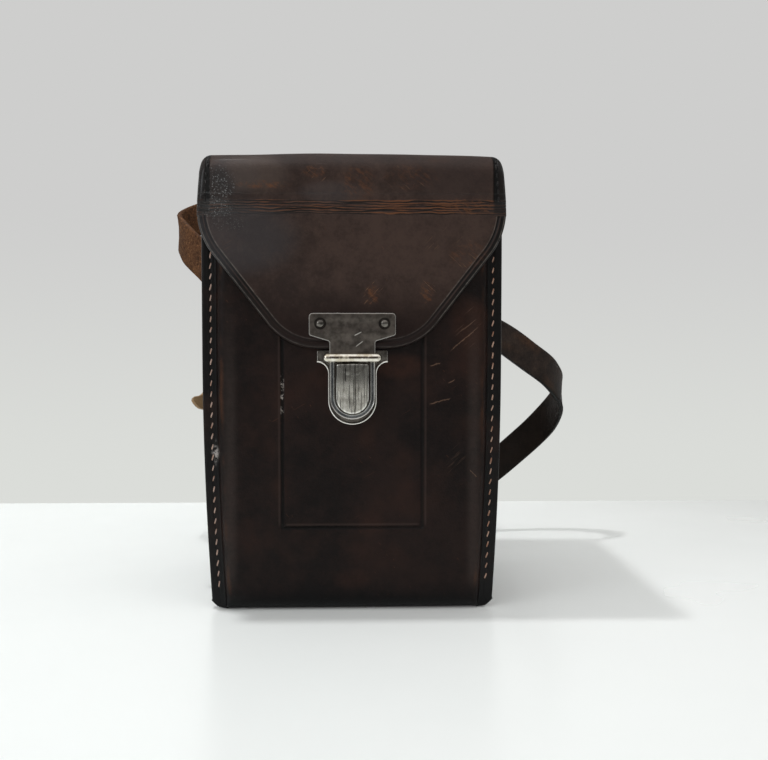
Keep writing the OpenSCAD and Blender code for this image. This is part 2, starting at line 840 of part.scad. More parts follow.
front_panel();
back_panel();
base_panel();
side_gusset_left();
side_gusset_right();
front_lining();
back_lining();
side_lining_left();
side_lining_right();
base_board();
base_lining();
catch_plate();
catch_stud();
catch_rivets();
catch_washers();
strap_patch_left();
strap_patch_right();
strap();
strap_rivets();
strap_washers();
lid_top();
lid_skirt_left();
lid_skirt_right();
lid_lining();
flap_leaf();
hasp_plate();
hasp_frame();
hasp_cover();
hasp_rivets();
hasp_washers();
latch_spring();
button_spring();
press_button();
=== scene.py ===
import math

import bpy
import numpy as np
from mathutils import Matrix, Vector, noise


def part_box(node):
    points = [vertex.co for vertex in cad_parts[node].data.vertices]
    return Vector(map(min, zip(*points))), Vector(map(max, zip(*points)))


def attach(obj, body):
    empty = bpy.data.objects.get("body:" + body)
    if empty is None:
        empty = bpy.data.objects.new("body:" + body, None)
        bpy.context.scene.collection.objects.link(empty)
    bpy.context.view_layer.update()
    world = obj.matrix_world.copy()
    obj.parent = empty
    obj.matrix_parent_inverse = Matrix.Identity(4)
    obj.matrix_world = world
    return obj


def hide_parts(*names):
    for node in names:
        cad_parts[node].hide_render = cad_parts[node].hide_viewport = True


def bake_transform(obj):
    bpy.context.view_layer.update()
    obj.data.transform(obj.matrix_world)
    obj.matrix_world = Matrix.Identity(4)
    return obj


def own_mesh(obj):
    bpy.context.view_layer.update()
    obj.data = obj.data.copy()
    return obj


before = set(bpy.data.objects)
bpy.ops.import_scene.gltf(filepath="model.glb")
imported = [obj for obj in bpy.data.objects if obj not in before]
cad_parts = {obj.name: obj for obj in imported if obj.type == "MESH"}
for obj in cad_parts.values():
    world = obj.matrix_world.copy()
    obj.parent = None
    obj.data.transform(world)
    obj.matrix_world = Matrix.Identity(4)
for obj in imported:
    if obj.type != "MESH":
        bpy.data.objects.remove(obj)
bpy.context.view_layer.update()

# Where the photograph was taken from: a hand-held camera level with the middle of the case,
# about 0.45 m from its middle, aimed a little to the right of it and a little downwards.
PHOTO_W = 768
FOCAL_PIXELS = 1033
scene = bpy.context.scene
eye = Vector((0.0, -0.443, 0.102))
sight = Vector((0.0306, 1.0, -0.0365))
lens = bpy.data.cameras.new("photo_camera")
lens.sensor_width = 36
lens.lens = lens.sensor_width * FOCAL_PIXELS / PHOTO_W
camera = bpy.data.objects.new("photo_camera", lens)
camera.location = eye
camera.rotation_euler = sight.to_track_quat("-Z", "Y").to_euler()
scene.collection.objects.link(camera)
scene.camera = camera
scene.view_settings.view_transform = "Standard"


# The place: a white table top with a faint shine against a pale painted wall, under one small lamp
# close above the case and an even light from the room. The wall has no back, so that the case can
# be looked at from behind.
class Tone:
    """A shader socket. Sums written with it add Math nodes to the finish that it belongs to."""

    def __init__(self, finish, socket):
        self.finish, self.socket = finish, socket

    def sum(self, operation, *terms):
        return self.finish.node("ShaderNodeMath", {"operation": operation}, dict(enumerate(terms)))

    def __add__(self, other):
        return self.sum("ADD", self, other)

    __radd__ = __add__

    def __sub__(self, other):
        return self.sum("SUBTRACT", self, other)

    def __rsub__(self, other):
        return self.sum("SUBTRACT", other, self)

    def __mul__(self, other):
        return self.sum("MULTIPLY", self, other)

    __rmul__ = __mul__

    def __pow__(self, other):
        return self.sum("POWER", self, other)

    def __abs__(self):
        return self.sum("ABSOLUTE", self)


class Finish:
    """The node tree of a new material, or of the room, with the one method that adds a node to it."""

    def __init__(self, owner):
        self.owner = bpy.data.materials.new(owner) if isinstance(owner, str) else owner
        self.owner.use_nodes = True
        self.tree = self.owner.node_tree

    def fill(self, made, sockets):
        for name, value in sockets.items():
            if isinstance(value, Tone):
                self.tree.links.new(value.socket, made.inputs[name])
            else:
                made.inputs[name].default_value = value

    def node(self, kind, settings=None, sockets=None, out=0):
        made = self.tree.nodes.new(kind)
        for name, value in (settings or {}).items():
            setattr(made, name, value)
        self.fill(made, sockets or {})
        return Tone(self, made.outputs[out])

    def coat(self, sockets, shader="Principled BSDF"):
        """Sets the sockets of the shader that the surface ends in."""
        self.fill(self.tree.nodes[shader], sockets)
        return self.owner

    def place(self):
        """Places on the object, in millimetres."""
        spot = self.node("ShaderNodeTexCoord", out=3)
        return self.node("ShaderNodeVectorMath", {"operation": "SCALE"}, {0: spot, "Scale": 1000})

    def apart(self, vector):
        """The three numbers of a vector."""
        first = self.node("ShaderNodeSeparateXYZ", None, {0: vector})
        return [Tone(self, socket) for socket in first.socket.node.outputs]

    def cloud(self, place, scale, detail=3.0, rough=0.55):
        """Soft noise with lumps of about 1/scale millimetres."""
        return self.node("ShaderNodeTexNoise", None,
                         {"Vector": place, "Scale": scale, "Detail": detail, "Roughness": rough})

    def cells(self, place, scale):
        """Distance from the middle of cells of about 1/scale millimetres."""
        return self.node("ShaderNodeTexVoronoi", None, {"Vector": place, "Scale": scale})

    def drawn(self, place, turn, scale):
        """Places turned and then drawn out, for streaks and threads."""
        turned = self.node("ShaderNodeMapping", None, {"Vector": place, "Rotation": turn})
        return self.node("ShaderNodeVectorMath", {"operation": "MULTIPLY"}, {0: turned, 1: scale})

    def ease(self, value, low, high):
        """A soft step from 0 to 1 as value goes from low to high."""
        return self.node("ShaderNodeMapRange", {"interpolation_type": "SMOOTHSTEP"},
                         {"Value": value, "From Min": low, "From Max": high})

    def mix(self, share, first, second):
        """The second colour laid over the first."""
        return self.node("ShaderNodeMix", {"data_type": "RGBA"}, {0: share, 6: first, 7: second}, out=2)

    def lay(self, colour, *coats):
        """Coats laid over a colour one after the other, each with its share and its colour from 0 to 255."""
        for share, shade in coats:
            colour = self.mix(share, colour, paint(*shade))
        return colour

    def spots(self, x, z, ovals, within=None, onto=None):
        """Soft ovals added up, each with its middle, half width, half height and strength."""
        for at_x, at_z, wide, high, strength in ovals:
            across, up = (x - at_x) * (1 / wide), (z - at_z) * (1 / high)
            oval = self.ease(across * across + up * up, 1.0, 0.1)
            oval = oval if within is None else oval * within
            oval = oval if strength == 1 else oval * strength
            onto = oval if onto is None else onto + oval
        return onto

    def mark(self, name):
        """A value painted on the points of a mesh."""
        return self.node("ShaderNodeAttribute", {"attribute_name": name}, out=2)

    def relief(self, height, depth):
        """Surface relief of so many millimetres."""
        return self.node("ShaderNodeBump", None,
                         {"Height": height, "Distance": depth / 1000, "Strength": 1.0})


def paint(red, green, blue):
    """A colour from 0 to 255 as it is seen, for a shader."""
    shares = [c / 255 for c in (red, green, blue)]
    return tuple(s / 12.92 if s <= 0.04045 else ((s + 0.055) / 1.055) ** 2.4 for s in shares) + (1.0,)


def add_piece(name, points, faces, material, marks=None, sharp=None):
    """A mesh object from points in millimetres, with values painted on its points."""
    mesh = bpy.data.meshes.new(name)
    mesh.from_pydata((np.asarray(points, float) / 1000).tolist(), [], [tuple(map(int, f)) for f in faces])
    mesh.polygons.foreach_set("use_smooth", [True] * len(mesh.polygons))
    if sharp:
        mesh.set_sharp_from_angle(angle=math.radians(sharp))
    for mark, values in (marks or {}).items():
        painted = mesh.attributes.new(mark, "FLOAT", "POINT").data
        painted.foreach_set("value", np.asarray(values, np.float32).ravel())
    mesh.materials.append(material)
    mesh.update()
    piece = bpy.data.objects.new(name, mesh)
    scene.collection.objects.link(piece)
    return piece


WALL_Y = 215
TABLE_REACH = 2500
top_paint = Finish("white_table_top")
table_haze = top_paint.cloud(top_paint.place(), 0.01, 3.0)
seen_by_camera = top_paint.node("ShaderNodeLightPath")
lighter_side = top_paint.ease(top_paint.apart(top_paint.place())[0], -120, 150) * seen_by_camera
top_paint.coat({"Base Color": top_paint.mix(table_haze, paint(243, 247, 246), paint(247, 250, 249)),
                "Roughness": 0.22 + table_haze * 0.08, "Specular IOR Level": 0.35, "Emission Strength": 1.0,
                "Emission Color": top_paint.mix(lighter_side, paint(0, 0, 0), paint(74, 72, 72))})
ROUND_ORDER = ((-1, 0), (1, 0), (1, 1), (-1, 1))
table = add_piece("table_top", [(x * TABLE_REACH, (2 * y - 1) * TABLE_REACH, 0) for x, y in ROUND_ORDER],
                  [(0, 1, 2, 3)], top_paint.owner)
wall_paint = Finish("pale_wall")
wall_haze = wall_paint.cloud(wall_paint.place(), 0.006, 2.0)
wall_paint.coat({"Base Color": wall_paint.mix(wall_haze, paint(240, 241, 240), paint(246, 247, 246)),
                 "Roughness": 0.7})
wall_back = wall_paint.node("ShaderNodeNewGeometry", out=6)
wall_clear = wall_paint.node("ShaderNodeBsdfTransparent")
wall_face = Tone(wall_paint, wall_paint.tree.nodes["Principled BSDF"].outputs[0])
wall_height = wall_paint.ease(wall_paint.apart(wall_paint.place())[2], 0, 200)
wall_even = wall_paint.node("ShaderNodeEmission", None, {
    "Color": wall_paint.mix(wall_height, paint(219, 221, 217), paint(206, 206, 205))})
wall_seen = wall_paint.node("ShaderNodeMixShader", None, {
    0: wall_paint.node("ShaderNodeLightPath"), 1: wall_face, 2: wall_even})
wall_sides = wall_paint.node("ShaderNodeMixShader", None, {0: wall_back, 1: wall_seen, 2: wall_clear})
wall_paint.fill(wall_paint.tree.nodes["Material Output"], {"Surface": wall_sides})
wall = add_piece("wall", [(x * TABLE_REACH, WALL_Y, 2 * TABLE_REACH if z else -1) for x, z in ROUND_ORDER],
                 [(0, 1, 2, 3)], wall_paint.owner)


def add_lamp(name, kind, place, aim=None, **settings):
    """A lamp at a place in metres, aimed at a point or straight down."""
    light = bpy.data.lights.new(name, kind)
    for setting, value in settings.items():
        setattr(light, setting, value)
    lamp = bpy.data.objects.new(name, light)
    lamp.location = place
    if aim:
        lamp.rotation_euler = (Vector(aim) - lamp.location).to_track_quat("-Z", "Y").to_euler()
    scene.collection.objects.link(lamp)


add_lamp("lamp_above", "SPOT", (-0.1, -0.026, 0.555), energy=4.4, shadow_soft_size=0.012,
         spot_size=math.radians(88), spot_blend=0.8)
add_lamp("window_left", "AREA", (-0.62, -0.55, 0.40), aim=(0, 0, 0.1), energy=1.0, shape="RECTANGLE",
         size=0.3, size_y=0.45, color=(0.92, 0.96, 1.0))
room = bpy.data.worlds.new("room_light")
scene.world = room
room_finish = Finish(room)
height_in_room = room_finish.apart(room_finish.node("ShaderNodeTexCoord", out=0))[2]
room_finish.coat({"Color": (1.0, 0.99, 0.975, 1.0),
                  "Strength": 0.24 + 0.80 * room_finish.ease(height_in_room, -0.05, 0.95)}, "Background")


# The base: a flat plate of harness leather with rounded corners, cut to fit between the side walls
# and the turned-in feet of the front and back, and glued to them.
def leather(name, dark, warm, shine=0.40, tan=(104, 64, 38), features=None):
    """Old vegetable-tanned leather: cloudy dye, fine grain, scratches, rubbed places, dyed edges and suede
    inside."""
    hide = Finish(name)
    mm = hide.place()
    patch = hide.cloud(mm, 0.024, 3.0)
    blot = hide.cloud(mm, 0.14, 5.0, 0.68)
    grain = hide.cloud(mm, 1.9, 4.0, 0.62)
    pores = hide.ease(hide.cells(mm, 1.25), 0.05, 0.75)
    mottle = hide.cloud(mm, 0.7, 4.0, 0.7)
    fine = hide.cloud(hide.drawn(mm, (0.3, 0.7, 0.2), (1.8, 1.8, 0.06)), 1.0, 2.0)
    cross = hide.cloud(hide.drawn(mm, (0.1, -1.05, 0.4), (1.5, 1.5, 0.05)), 1.0, 2.0)
    scratch = hide.ease(fine, 0.69, 0.76) + hide.ease(cross, 0.71, 0.78)
    scratch = scratch * hide.ease(hide.cloud(mm, 0.05, 2.0), 0.48, 0.64)
    edge, wear, flesh = hide.mark("edge"), hide.mark("wear"), hide.mark("flesh")
    dye = hide.ease(patch * 0.45 + blot * 0.35 + mottle * 0.2, 0.39, 0.61)
    rubbed = hide.ease(wear * (0.35 + blot * 0.9) + (grain - 0.5) * 0.35 * wear, 0.18, 0.75)
    # the edge mark dyes cut edges near black; at the moulded plates' feet and in the fold's wrinkle dips it
    # is painted shade
    colour = hide.lay(paint(*dark), (dye, warm), (rubbed * 0.8, tan), (scratch * 0.35, tan),
                      (hide.ease(edge, 0.25, 0.9) * 0.92, (8, 7, 7)))
    suede = hide.mix(hide.ease(grain * 0.6 + blot * 0.4, 0.38, 0.62), paint(70, 45, 29), paint(116, 79, 51))
    colour = hide.mix(flesh, colour, suede)
    rough = shine + (blot - 0.5) * 0.22 + scratch * 0.15 + flesh * 0.45 + rubbed * 0.12
    height = grain * 0.6 + mottle * 0.7 + pores * 0.35 + blot * 0.9 - scratch * 0.5 + flesh * grain * 2.0
    gloss = hide.ease(edge, 0.3, 0.95) * 0.14
    if features:
        colour, rough, height, gloss = features(hide, mm, colour, rough, height, gloss)
    return hide.coat({"Base Color": colour, "Roughness": rough, "Specular IOR Level": 0.13,
                      "Coat Weight": gloss, "Coat Roughness": 0.2, "Normal": hide.relief(height, 0.1)})


def held(values):
    """Values held between 0 and 1."""
    return np.clip(values, 0, 1)


def unit(vectors):
    """The same directions, each one long."""
    return vectors / np.maximum(np.linalg.norm(vectors, axis=-1, keepdims=True), 1e-9)


def between(lows, highs):
    """Faces between rows of points and the rows above them."""
    return [(low[c], low[c + 1], high[c + 1], high[c])
            for low, high in zip(lows, highs) for c in range(len(low) - 1)]


def closed_sheet(name, outside, thick, material, marks=None, bulge=0.32, edge_reach=1.3, joined=()):
    """A sheet with thickness and a rounded cut edge. The outside is given as rows from the bottom up, each
    from left to right as seen from outside. Its points carry the marks edge, wear and flesh. A foot or a top
    that is joined runs on into the next piece, so it is neither dyed nor rounded."""
    top = np.asarray(outside, float)
    rows, cols = top.shape[:2]
    across, up = np.gradient(top, axis=1), np.gradient(top, axis=0)
    out, across, up = unit(np.cross(across, up)), unit(across), unit(up)
    under = top - out * thick

    # distance of each point from the nearest cut edge, along its row and its column
    along = np.cumsum(np.linalg.norm(np.diff(top, axis=1, prepend=top[:, :1]), axis=2), axis=1)
    rising = np.cumsum(np.linalg.norm(np.diff(top, axis=0, prepend=top[:1]), axis=2), axis=0)
    reach = np.minimum(along, along[:, -1:] - along)
    reach = reach if "foot" in joined else np.minimum(reach, rising)
    reach = reach if "top" in joined else np.minimum(reach, rising[-1:] - rising)
    edge = held(1 - reach / edge_reach)
    painted = {"edge": edge, "wear": np.zeros((rows, cols)), "flesh": np.zeros((rows, cols))}
    for mark, values in (marks or {}).items():
        painted[mark] = np.maximum(painted[mark], values) if mark == "edge" else values

    number = np.arange(rows * cols).reshape(rows, cols)
    below = number + rows * cols
    loop = ([(0, c) for c in range(cols)] + [(r, cols - 1) for r in range(1, rows)]
            + [(rows - 1, c) for c in range(cols - 2, -1, -1)] + [(r, 0) for r in range(rows - 2, 0, -1)])
    sideways = []
    for r, c in loop:
        way = np.zeros(3)
        way += (-up[r, c] if r == 0 and "foot" not in joined else 0)
        way += (up[r, c] if r == rows - 1 and "top" not in joined else 0)
        way += (-across[r, c] if c == 0 else 0) + (across[r, c] if c == cols - 1 else 0)
        sideways.append(unit(way))
    rim, count = [], len(loop)
    for turn in (0.25, 0.5, 0.75):
        for (r, c), way in zip(loop, sideways):
            depth = np.linalg.norm(under[r, c] - top[r, c])
            rim.append(top[r, c] + (under[r, c] - top[r, c]) * (1 - math.cos(math.pi * turn)) / 2
                       + way * bulge * depth * math.sin(math.pi * turn))
    ladder = [[number[r, c] for r, c in loop + loop[:1]]]
    ladder += [[2 * rows * cols + k * count + i % count for i in range(count + 1)] for k in range(3)]
    ladder += [[below[r, c] for r, c in loop + loop[:1]]]
    faces = between(number, number[1:]) + between(below[1:], below) + between(ladder[1:], ladder)
    points = np.concatenate([top.reshape(-1, 3), under.reshape(-1, 3), np.array(rim)])
    full = {"edge": np.concatenate([painted["edge"].ravel(), edge.ravel(), np.ones(3 * count)]),
            "wear": np.concatenate([painted["wear"].ravel(), np.zeros(rows * cols + 3 * count)]),
            "flesh": np.concatenate([painted["flesh"].ravel(), np.ones(rows * cols), np.zeros(3 * count)])}
    return add_piece(name, points, faces, material, full)


def ripple(points, size, depth, seed):
    """Slow unevenness of a hand-made surface, in millimetres, at each of these points."""
    flat = np.asarray(points, float).reshape(-1, 3)
    found = [noise.noise(Vector(p) / size + Vector((seed, 0.37 * seed, 1.7 * seed))) for p in flat]
    return depth * np.array(found).reshape(np.asarray(points).shape[:-1])


def finish_piece(piece, body, slot, *nodes):
    """The piece rides on its body and stands for its CAD nodes, if it has any."""
    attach(piece, body)
    if nodes:
        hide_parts(*nodes)


LEATHER, SEAM_Y, SIDE_SET = 2.2, 46.8, 2.6
SEAM_HALF, DRAWN_IN, DRAWN_BELOW = 57.0, 3.25, 95.0


def half_width(z):
    """Half the width over the seams, which draw in towards the base."""
    return SEAM_HALF - DRAWN_IN * np.maximum(0.0, 1 - np.asarray(z, float) / DRAWN_BELOW) ** 2


body_leather = leather("body_leather", (19, 15, 15), (37, 27, 24))
BASE_R, BASE_GAP, BASE_LIFT = 5.0, 0.6, 0.12
base_x = half_width(LEATHER) - SIDE_SET - BASE_GAP
base_rows = []
corner_y = np.linspace(SEAM_Y - BASE_GAP, SEAM_Y - BASE_R, 6)
for y in np.concatenate([corner_y, np.linspace(38, -38, 20), -corner_y[::-1]]):
    beyond = max(0.0, abs(y) - (SEAM_Y - BASE_R))
    half = base_x - BASE_R + math.sqrt(BASE_R ** 2 - beyond ** 2)
    base_rows.append([(x * half, y, 0.0) for x in np.linspace(-1, 1, 30)])
base_rows = np.array(base_rows)
base_rows[..., 2] += BASE_LIFT + ripple(base_rows, 30.0, 0.12, 3)
base = closed_sheet("base", base_rows, LEATHER - BASE_LIFT, body_leather,
                    {"wear": ripple(base_rows, 14.0, 0.5, 8) + 0.3})
finish_piece(base, "case", "body_leather", "base_panel")


# The two side walls: one strip of leather each, bent outwards along both long edges so that it can be
# sewn to the front and the back, with the bend rolled rather than sharp.
FLANGE_R, FLANGE_FOOT = 4.5, 3.0
RIM_Z, SEAM_TOP_Z, NECK_X = 161.5, 150.0, 54.4


def flange_foot_z(inset, foot=FLANGE_FOOT):
    """Height of the rounded lower end of a seam flange, so far in from its edge."""
    reach = np.clip(FLANGE_R - np.asarray(inset, float), 0, FLANGE_R)
    return foot + FLANGE_R - np.sqrt(FLANGE_R ** 2 - reach ** 2)


def flange_limit(z):
    """How far out a seam flange reaches: full width, a rounded shoulder, then the neck inside the lid."""
    z = np.asarray(z, float)
    past = np.clip(z - (SEAM_TOP_Z - SIDE_SET), 0, SIDE_SET)
    shoulder = np.sqrt(np.clip(SIDE_SET ** 2 - past ** 2, 0, None))
    return np.minimum(half_width(z), NECK_X + shoulder)


QUARTER = math.pi / 2
BEND_R, BEND_Y = 1.6, 43.0
wall_path = [(1.95, -BEND_Y - BEND_R), (1.75, -BEND_Y - BEND_R)]
wall_path += [(BEND_R - BEND_R * math.sin(a), -BEND_R * math.cos(a) - BEND_Y)
              for a in np.linspace(0, QUARTER, 6)]
wall_path += [(0.0, y) for y in np.concatenate([[-42.3, -41.4], np.linspace(-39.5, 39.5, 32), [41.4, 42.3]])]
wall_path += [(a, -y) for a, y in wall_path[7::-1]]
wall_path = np.array(wall_path)
wall_levels = np.concatenate([np.linspace(LEATHER, 12, 8), np.linspace(14.5, 144, 53),
                              np.linspace(145, 151, 13), np.linspace(152.5, RIM_Z, 6)])
for side, hand in ((-1, "left"), (1, "right")):
    beyond, depth = wall_path[:, 0], wall_path[:, 1]
    foot = np.where(beyond > 0, flange_foot_z(SIDE_SET - beyond), LEATHER)
    near_bend = held((np.abs(depth) - 40.5) / 2.4)
    foot = np.maximum(foot, LEATHER + near_bend ** 2 * 2.3)
    z = foot[None, :] + (wall_levels - LEATHER)[:, None] * ((RIM_Z - foot) / (RIM_Z - LEATHER))[None, :]
    spread = held((flange_limit(z) - NECK_X) / SIDE_SET) * (z < SEAM_TOP_Z)
    spread = np.where(z < SEAM_TOP_Z - SIDE_SET, 1.0, spread)
    x = half_width(z) - SIDE_SET + beyond[None, :] * spread
    y = depth[None, :] + np.sign(depth)[None, :] * (1 - spread) * beyond[None, :] * 0.9
    wall_rows = np.stack([x, y, z], axis=2)
    hollow = ripple(wall_rows, 34.0, 0.16, 5 + side) * (beyond == 0)[None, :]
    wall_rows[..., 0] += hollow - 0.1
    if side < 0:
        wall_rows = wall_rows[:, ::-1] * np.array([-1, 1, 1])
    rub = held(ripple(wall_rows, 20.0, 0.9, 11 + side))
    gusset = closed_sheet("side_wall_" + hand, wall_rows, LEATHER, body_leather, {"wear": rub * 0.6})
    finish_piece(gusset, "case", "body_leather", "side_gusset_" + hand)


# The front and the back: one wet-moulded plate of leather each, pressed out over a block so that a flat
# flange is left down both sides for the seam. The front is pressed with a narrow line round three sides.
FRONT_Y, FLANGE_Y, FLANGE_W = 53.0, 49.0, 5.5
FOOT_R, PANEL_FOOT, HINGE_LEATHER_Z = 6.2, 0.8, 158.5
PANEL_X, PANEL_Z = 26.4, 31.6
flange_steps = [(d, 0.0) for d in (0.5, 1.1, 1.9, 2.5, 2.9, 3.3, 3.7, 4.1, 4.6)]
flange_steps += [(5.0, 0.01), (5.35, 0.05), (5.58, 0.13), (5.75, 0.25), (5.95, 0.40), (6.3, 0.56),
                 (6.8, 0.71), (7.5, 0.845), (8.3, 0.94), (9.3, 0.985), (10.4, 1.0), (12.0, 1.0)]
flat_columns = [40, 37, 34, 31.5, 29.5, 28.2, 27.6, 27.2, 26.8, 26.4, 26.0, 25.6, 25.2, 24.6, 23.4, 21, 18,
                15, 12, 9, 6, 3, 0]
SEAM_CHANNEL, CHANNEL_DEEP, LINE_W, LINE_DEEP = 3.3, 0.28, 0.42, 0.42
foot_levels = [FOOT_R * (1 - math.cos(a)) for a in np.linspace(0, QUARTER, 10)]


def hump(far, width):
    """A soft hump, one high in its middle."""
    return np.exp(-(far / width) ** 2)


def moulded_sheet(top_z, pressed):
    """The outside of a moulded plate, facing -Y, and the marks on it."""
    levels = np.concatenate([foot_levels, [7, 8, 9, 10, 11.5, 13], np.linspace(14.5, 29.5, 9),
                             PANEL_Z + np.array([-1.4, -1.0, -0.7, -0.4, -0.2, 0, 0.2, 0.4, 0.7, 1.1, 1.8]),
                             np.linspace(35, 144, 56), np.linspace(145, 151, 13), np.linspace(152, top_z, 6)])
    columns = [(d, h, None) for d, h in flange_steps] + [(None, 1.0, x) for x in flat_columns]
    right = np.zeros((len(levels), len(columns), 3))
    dyed = np.zeros(right.shape[:2])
    for k, (d, h, flat_x) in enumerate(columns):
        foot = 0.0 if d is None else float(flange_foot_z(min(d, FLANGE_W), PANEL_FOOT)) * (1 - h) ** 1.5
        z = foot + levels * (top_z - foot) / top_z
        full = half_width(z)
        if d is None:
            x = np.full_like(z, flat_x)
        elif d <= FLANGE_W:
            limit = flange_limit(z)
            x = limit - d / FLANGE_W * (limit - (full - FLANGE_W))
        else:
            x = full - d
        level = FLANGE_Y + (FRONT_Y - FLANGE_Y) * h
        round_foot = SEAM_Y + np.sqrt(np.clip(FOOT_R ** 2 - np.clip(FOOT_R - z, 0, None) ** 2, 0, None))
        y = np.minimum(level, round_foot)
        if d is not None and abs(d - SEAM_CHANNEL) < 0.5:
            y = y - CHANNEL_DEEP * (1 - abs(d - SEAM_CHANNEL) / 0.8) ** 2
        if d is None and pressed:
            upright = hump(x - PANEL_X, LINE_W) * held((z - PANEL_Z + 0.6) / 0.6)
            level_line = hump(z - PANEL_Z, LINE_W) * held((PANEL_X + 0.6 - x) / 0.6)
            y = y - LINE_DEEP * np.maximum(upright, level_line)
        right[:, k] = np.stack([x, -y, z], axis=1)
        dyed[:, k] = 0.0 if d is None else held((6.2 - d) / 0.9)
    sheet = np.concatenate([right[:, :-1] * np.array([-1, 1, 1]), right[:, ::-1]], axis=1)
    dyed = np.concatenate([dyed[:, :-1], dyed[:, ::-1]], axis=1)
    risen = [h for _, h, _ in columns]
    raised = np.concatenate([risen[:-1], risen[::-1]])
    x, z = sheet[..., 0], sheet[..., 2]
    crown = 0.30 * held(np.abs(x) / 46) ** 4 + 0.2 * held(1 - z / 24) ** 2
    sheet[..., 1] += crown * raised + (ripple(sheet, 27.0, 0.14, 21) + 0.07) * raised
    ridge = hump(half_width(z) - np.abs(x) - 7.6, 1.5)
    wear = held(ridge * 0.30 + ripple(sheet, 9.0, 0.5, 31) * ridge)
    # painted shade: the edge dye also darkens the lowest 12 mm, where the plate curves under
    dyed = np.maximum(dyed, held(1 - z / 12.0) * 0.85)
    return sheet, {"edge": dyed, "wear": wear}


def front_marks(hide, mm, colour, rough, height, gloss):
    """Pressed lines darkened with painted shade and lipped with a painted highlight, pale specks, a torn
    white scuff on the left seam, a painted grey sheen on the shoulders, warm patches, scratches beside the
    catch and painted shade along the foot."""
    x, _, z = hide.apart(mm)
    torn = hide.cloud(mm, 0.75, 4.0, 0.7)
    warm = hide.ease(hide.cloud(mm, 0.045, 3.0), 0.48, 0.74) * hide.ease(z, 5.0, 26.0) * 0.4
    warm = hide.spots(x, z, ((44, 110, 9, 12, 0.8), (17, 93, 12, 6, 0.9), (0, 12, 9, 5, 0.5)), torn, warm)
    streaks = hide.cloud(hide.drawn(mm, (0, -0.85, 0), (1.6, 1.6, 0.09)), 1.0, 3.0)
    nicks = hide.ease(streaks, 0.60, 0.68) * hide.spots(x, z, ((44, 108, 6, 10, 0.6), (40, 56, 5, 9, 0.2)))
    scratches = ((42.5, 103.4, 0.85, 5.8), (31.4, 93.6, 0.25, 2.2), (37.5, 87.2, 0.58, 1.4),
                 (33.2, 79.7, 0.27, 4.4), (46.0, 52.0, -1.0, 1.6))
    for at_x, at_z, slope, half in scratches:
        off_line = abs((z - at_z) - (x - at_x) * slope + (torn - 0.5) * 1.6)
        along = hide.ease(abs(x - at_x), half, half * 0.6)
        nicks = nicks + hide.ease(off_line, 0.34, 0.05) * along * (0.4 + torn)
    # painted sheen: a grey band down the mould's rounded shoulders
    shoulder = hide.ease(abs(abs(x) - 46.2), 3.8, 0.3) * hide.ease(z, 4.0, 16.0) * hide.ease(z, 135.0, 70.0)
    # painted shade in the pressed line round the panel, stronger on the left
    beside = hide.ease(abs(abs(x) - PANEL_X), 0.95, 0.25) * hide.ease(z, PANEL_Z - 0.8, PANEL_Z + 0.2)
    below = hide.ease(abs(z - PANEL_Z), 0.95, 0.25) * hide.ease(abs(x), PANEL_X + 0.8, PANEL_X - 0.2)
    pressed = beside.sum("MAXIMUM", beside, below) * (0.62 + 0.38 * hide.ease(x, 20.0, -20.0))
    # painted highlight on the lip beside the pressed line
    lip = hide.ease(abs(z - PANEL_Z - 1.35), 0.6, 0.1) * hide.ease(abs(x), PANEL_X - 0.6, PANEL_X - 2)
    lip = lip + hide.ease(abs(abs(x) - PANEL_X - 1.3), 0.6, 0.1) * hide.ease(z, PANEL_Z, PANEL_Z + 2)
    specks = hide.ease(abs(x + 26.5), 0.9, 0.2) * hide.ease(abs(z - 82.5), 9.5, 5.5)
    specks = specks * hide.ease(torn, 0.54, 0.60)
    near = hide.ease(abs(x + 52.0) * 0.55 + abs(z - 60.0) * 0.20, 1.25, 0.2)
    scuff = near * hide.ease(torn, 0.44, 0.56)
    # the near-black blue coat towards z = 0 is painted shade where the front curves under
    colour = hide.lay(colour, (warm, (54, 33, 25)), (nicks * 0.5, (138, 108, 88)),
                      (shoulder * (0.08 + torn * 0.36), (76, 67, 63)), (pressed * 0.85, (6, 5, 5)),
                      (lip * 0.3, (72, 58, 52)), (specks * 0.75, (176, 168, 160)),
                      (hide.ease(z, 12.0, 1.5) * 0.7, (5, 7, 9)), (scuff * 0.9, (176, 170, 166)))
    return colour, rough + scuff * 0.3 - shoulder * 0.06, height + scuff * 1.2 - pressed * 2.0, gloss


front_leather = leather("front_leather", (16, 11, 10), (33, 22, 19), 0.38, features=front_marks)
front_sheet, front_paint = moulded_sheet(RIM_Z, True)
front = closed_sheet("front", front_sheet, LEATHER, front_leather, front_paint)
finish_piece(front, "case", "body_leather", "front_panel")
back_sheet, back_paint = moulded_sheet(HINGE_LEATHER_Z, False)
back = closed_sheet("back", back_sheet * np.array([-1, -1, 1]), LEATHER, body_leather, back_paint)
finish_piece(back, "case", "body_leather", "back_panel")


# The seams: waxed linen thread, pale once and now stained, in slanting saddle stitches through both
# flanges, pulled down into a shallow channel on the front and on the back.
def thread(name, colour, stain):
    """Twisted waxed thread."""
    strand = Finish(name)
    mm = strand.place()
    twist = strand.node("ShaderNodeTexWave", {"wave_type": "BANDS", "bands_direction": "DIAGONAL"},
                        {"Vector": mm, "Scale": 1.1, "Distortion": 0.6, "Detail": 1.0})
    grime = strand.cloud(mm, 0.22, 4.0, 0.65)
    tone = strand.mix(strand.ease(grime, 0.42, 0.68), paint(*colour), paint(*stain))
    tone = strand.mix(twist * 0.45, tone, paint(*[c * 0.55 for c in stain]))
    return strand.coat({"Base Color": tone, "Roughness": 0.62 + grime * 0.2, "Specular IOR Level": 0.3,
                        "Normal": strand.relief(twist, 0.12)})


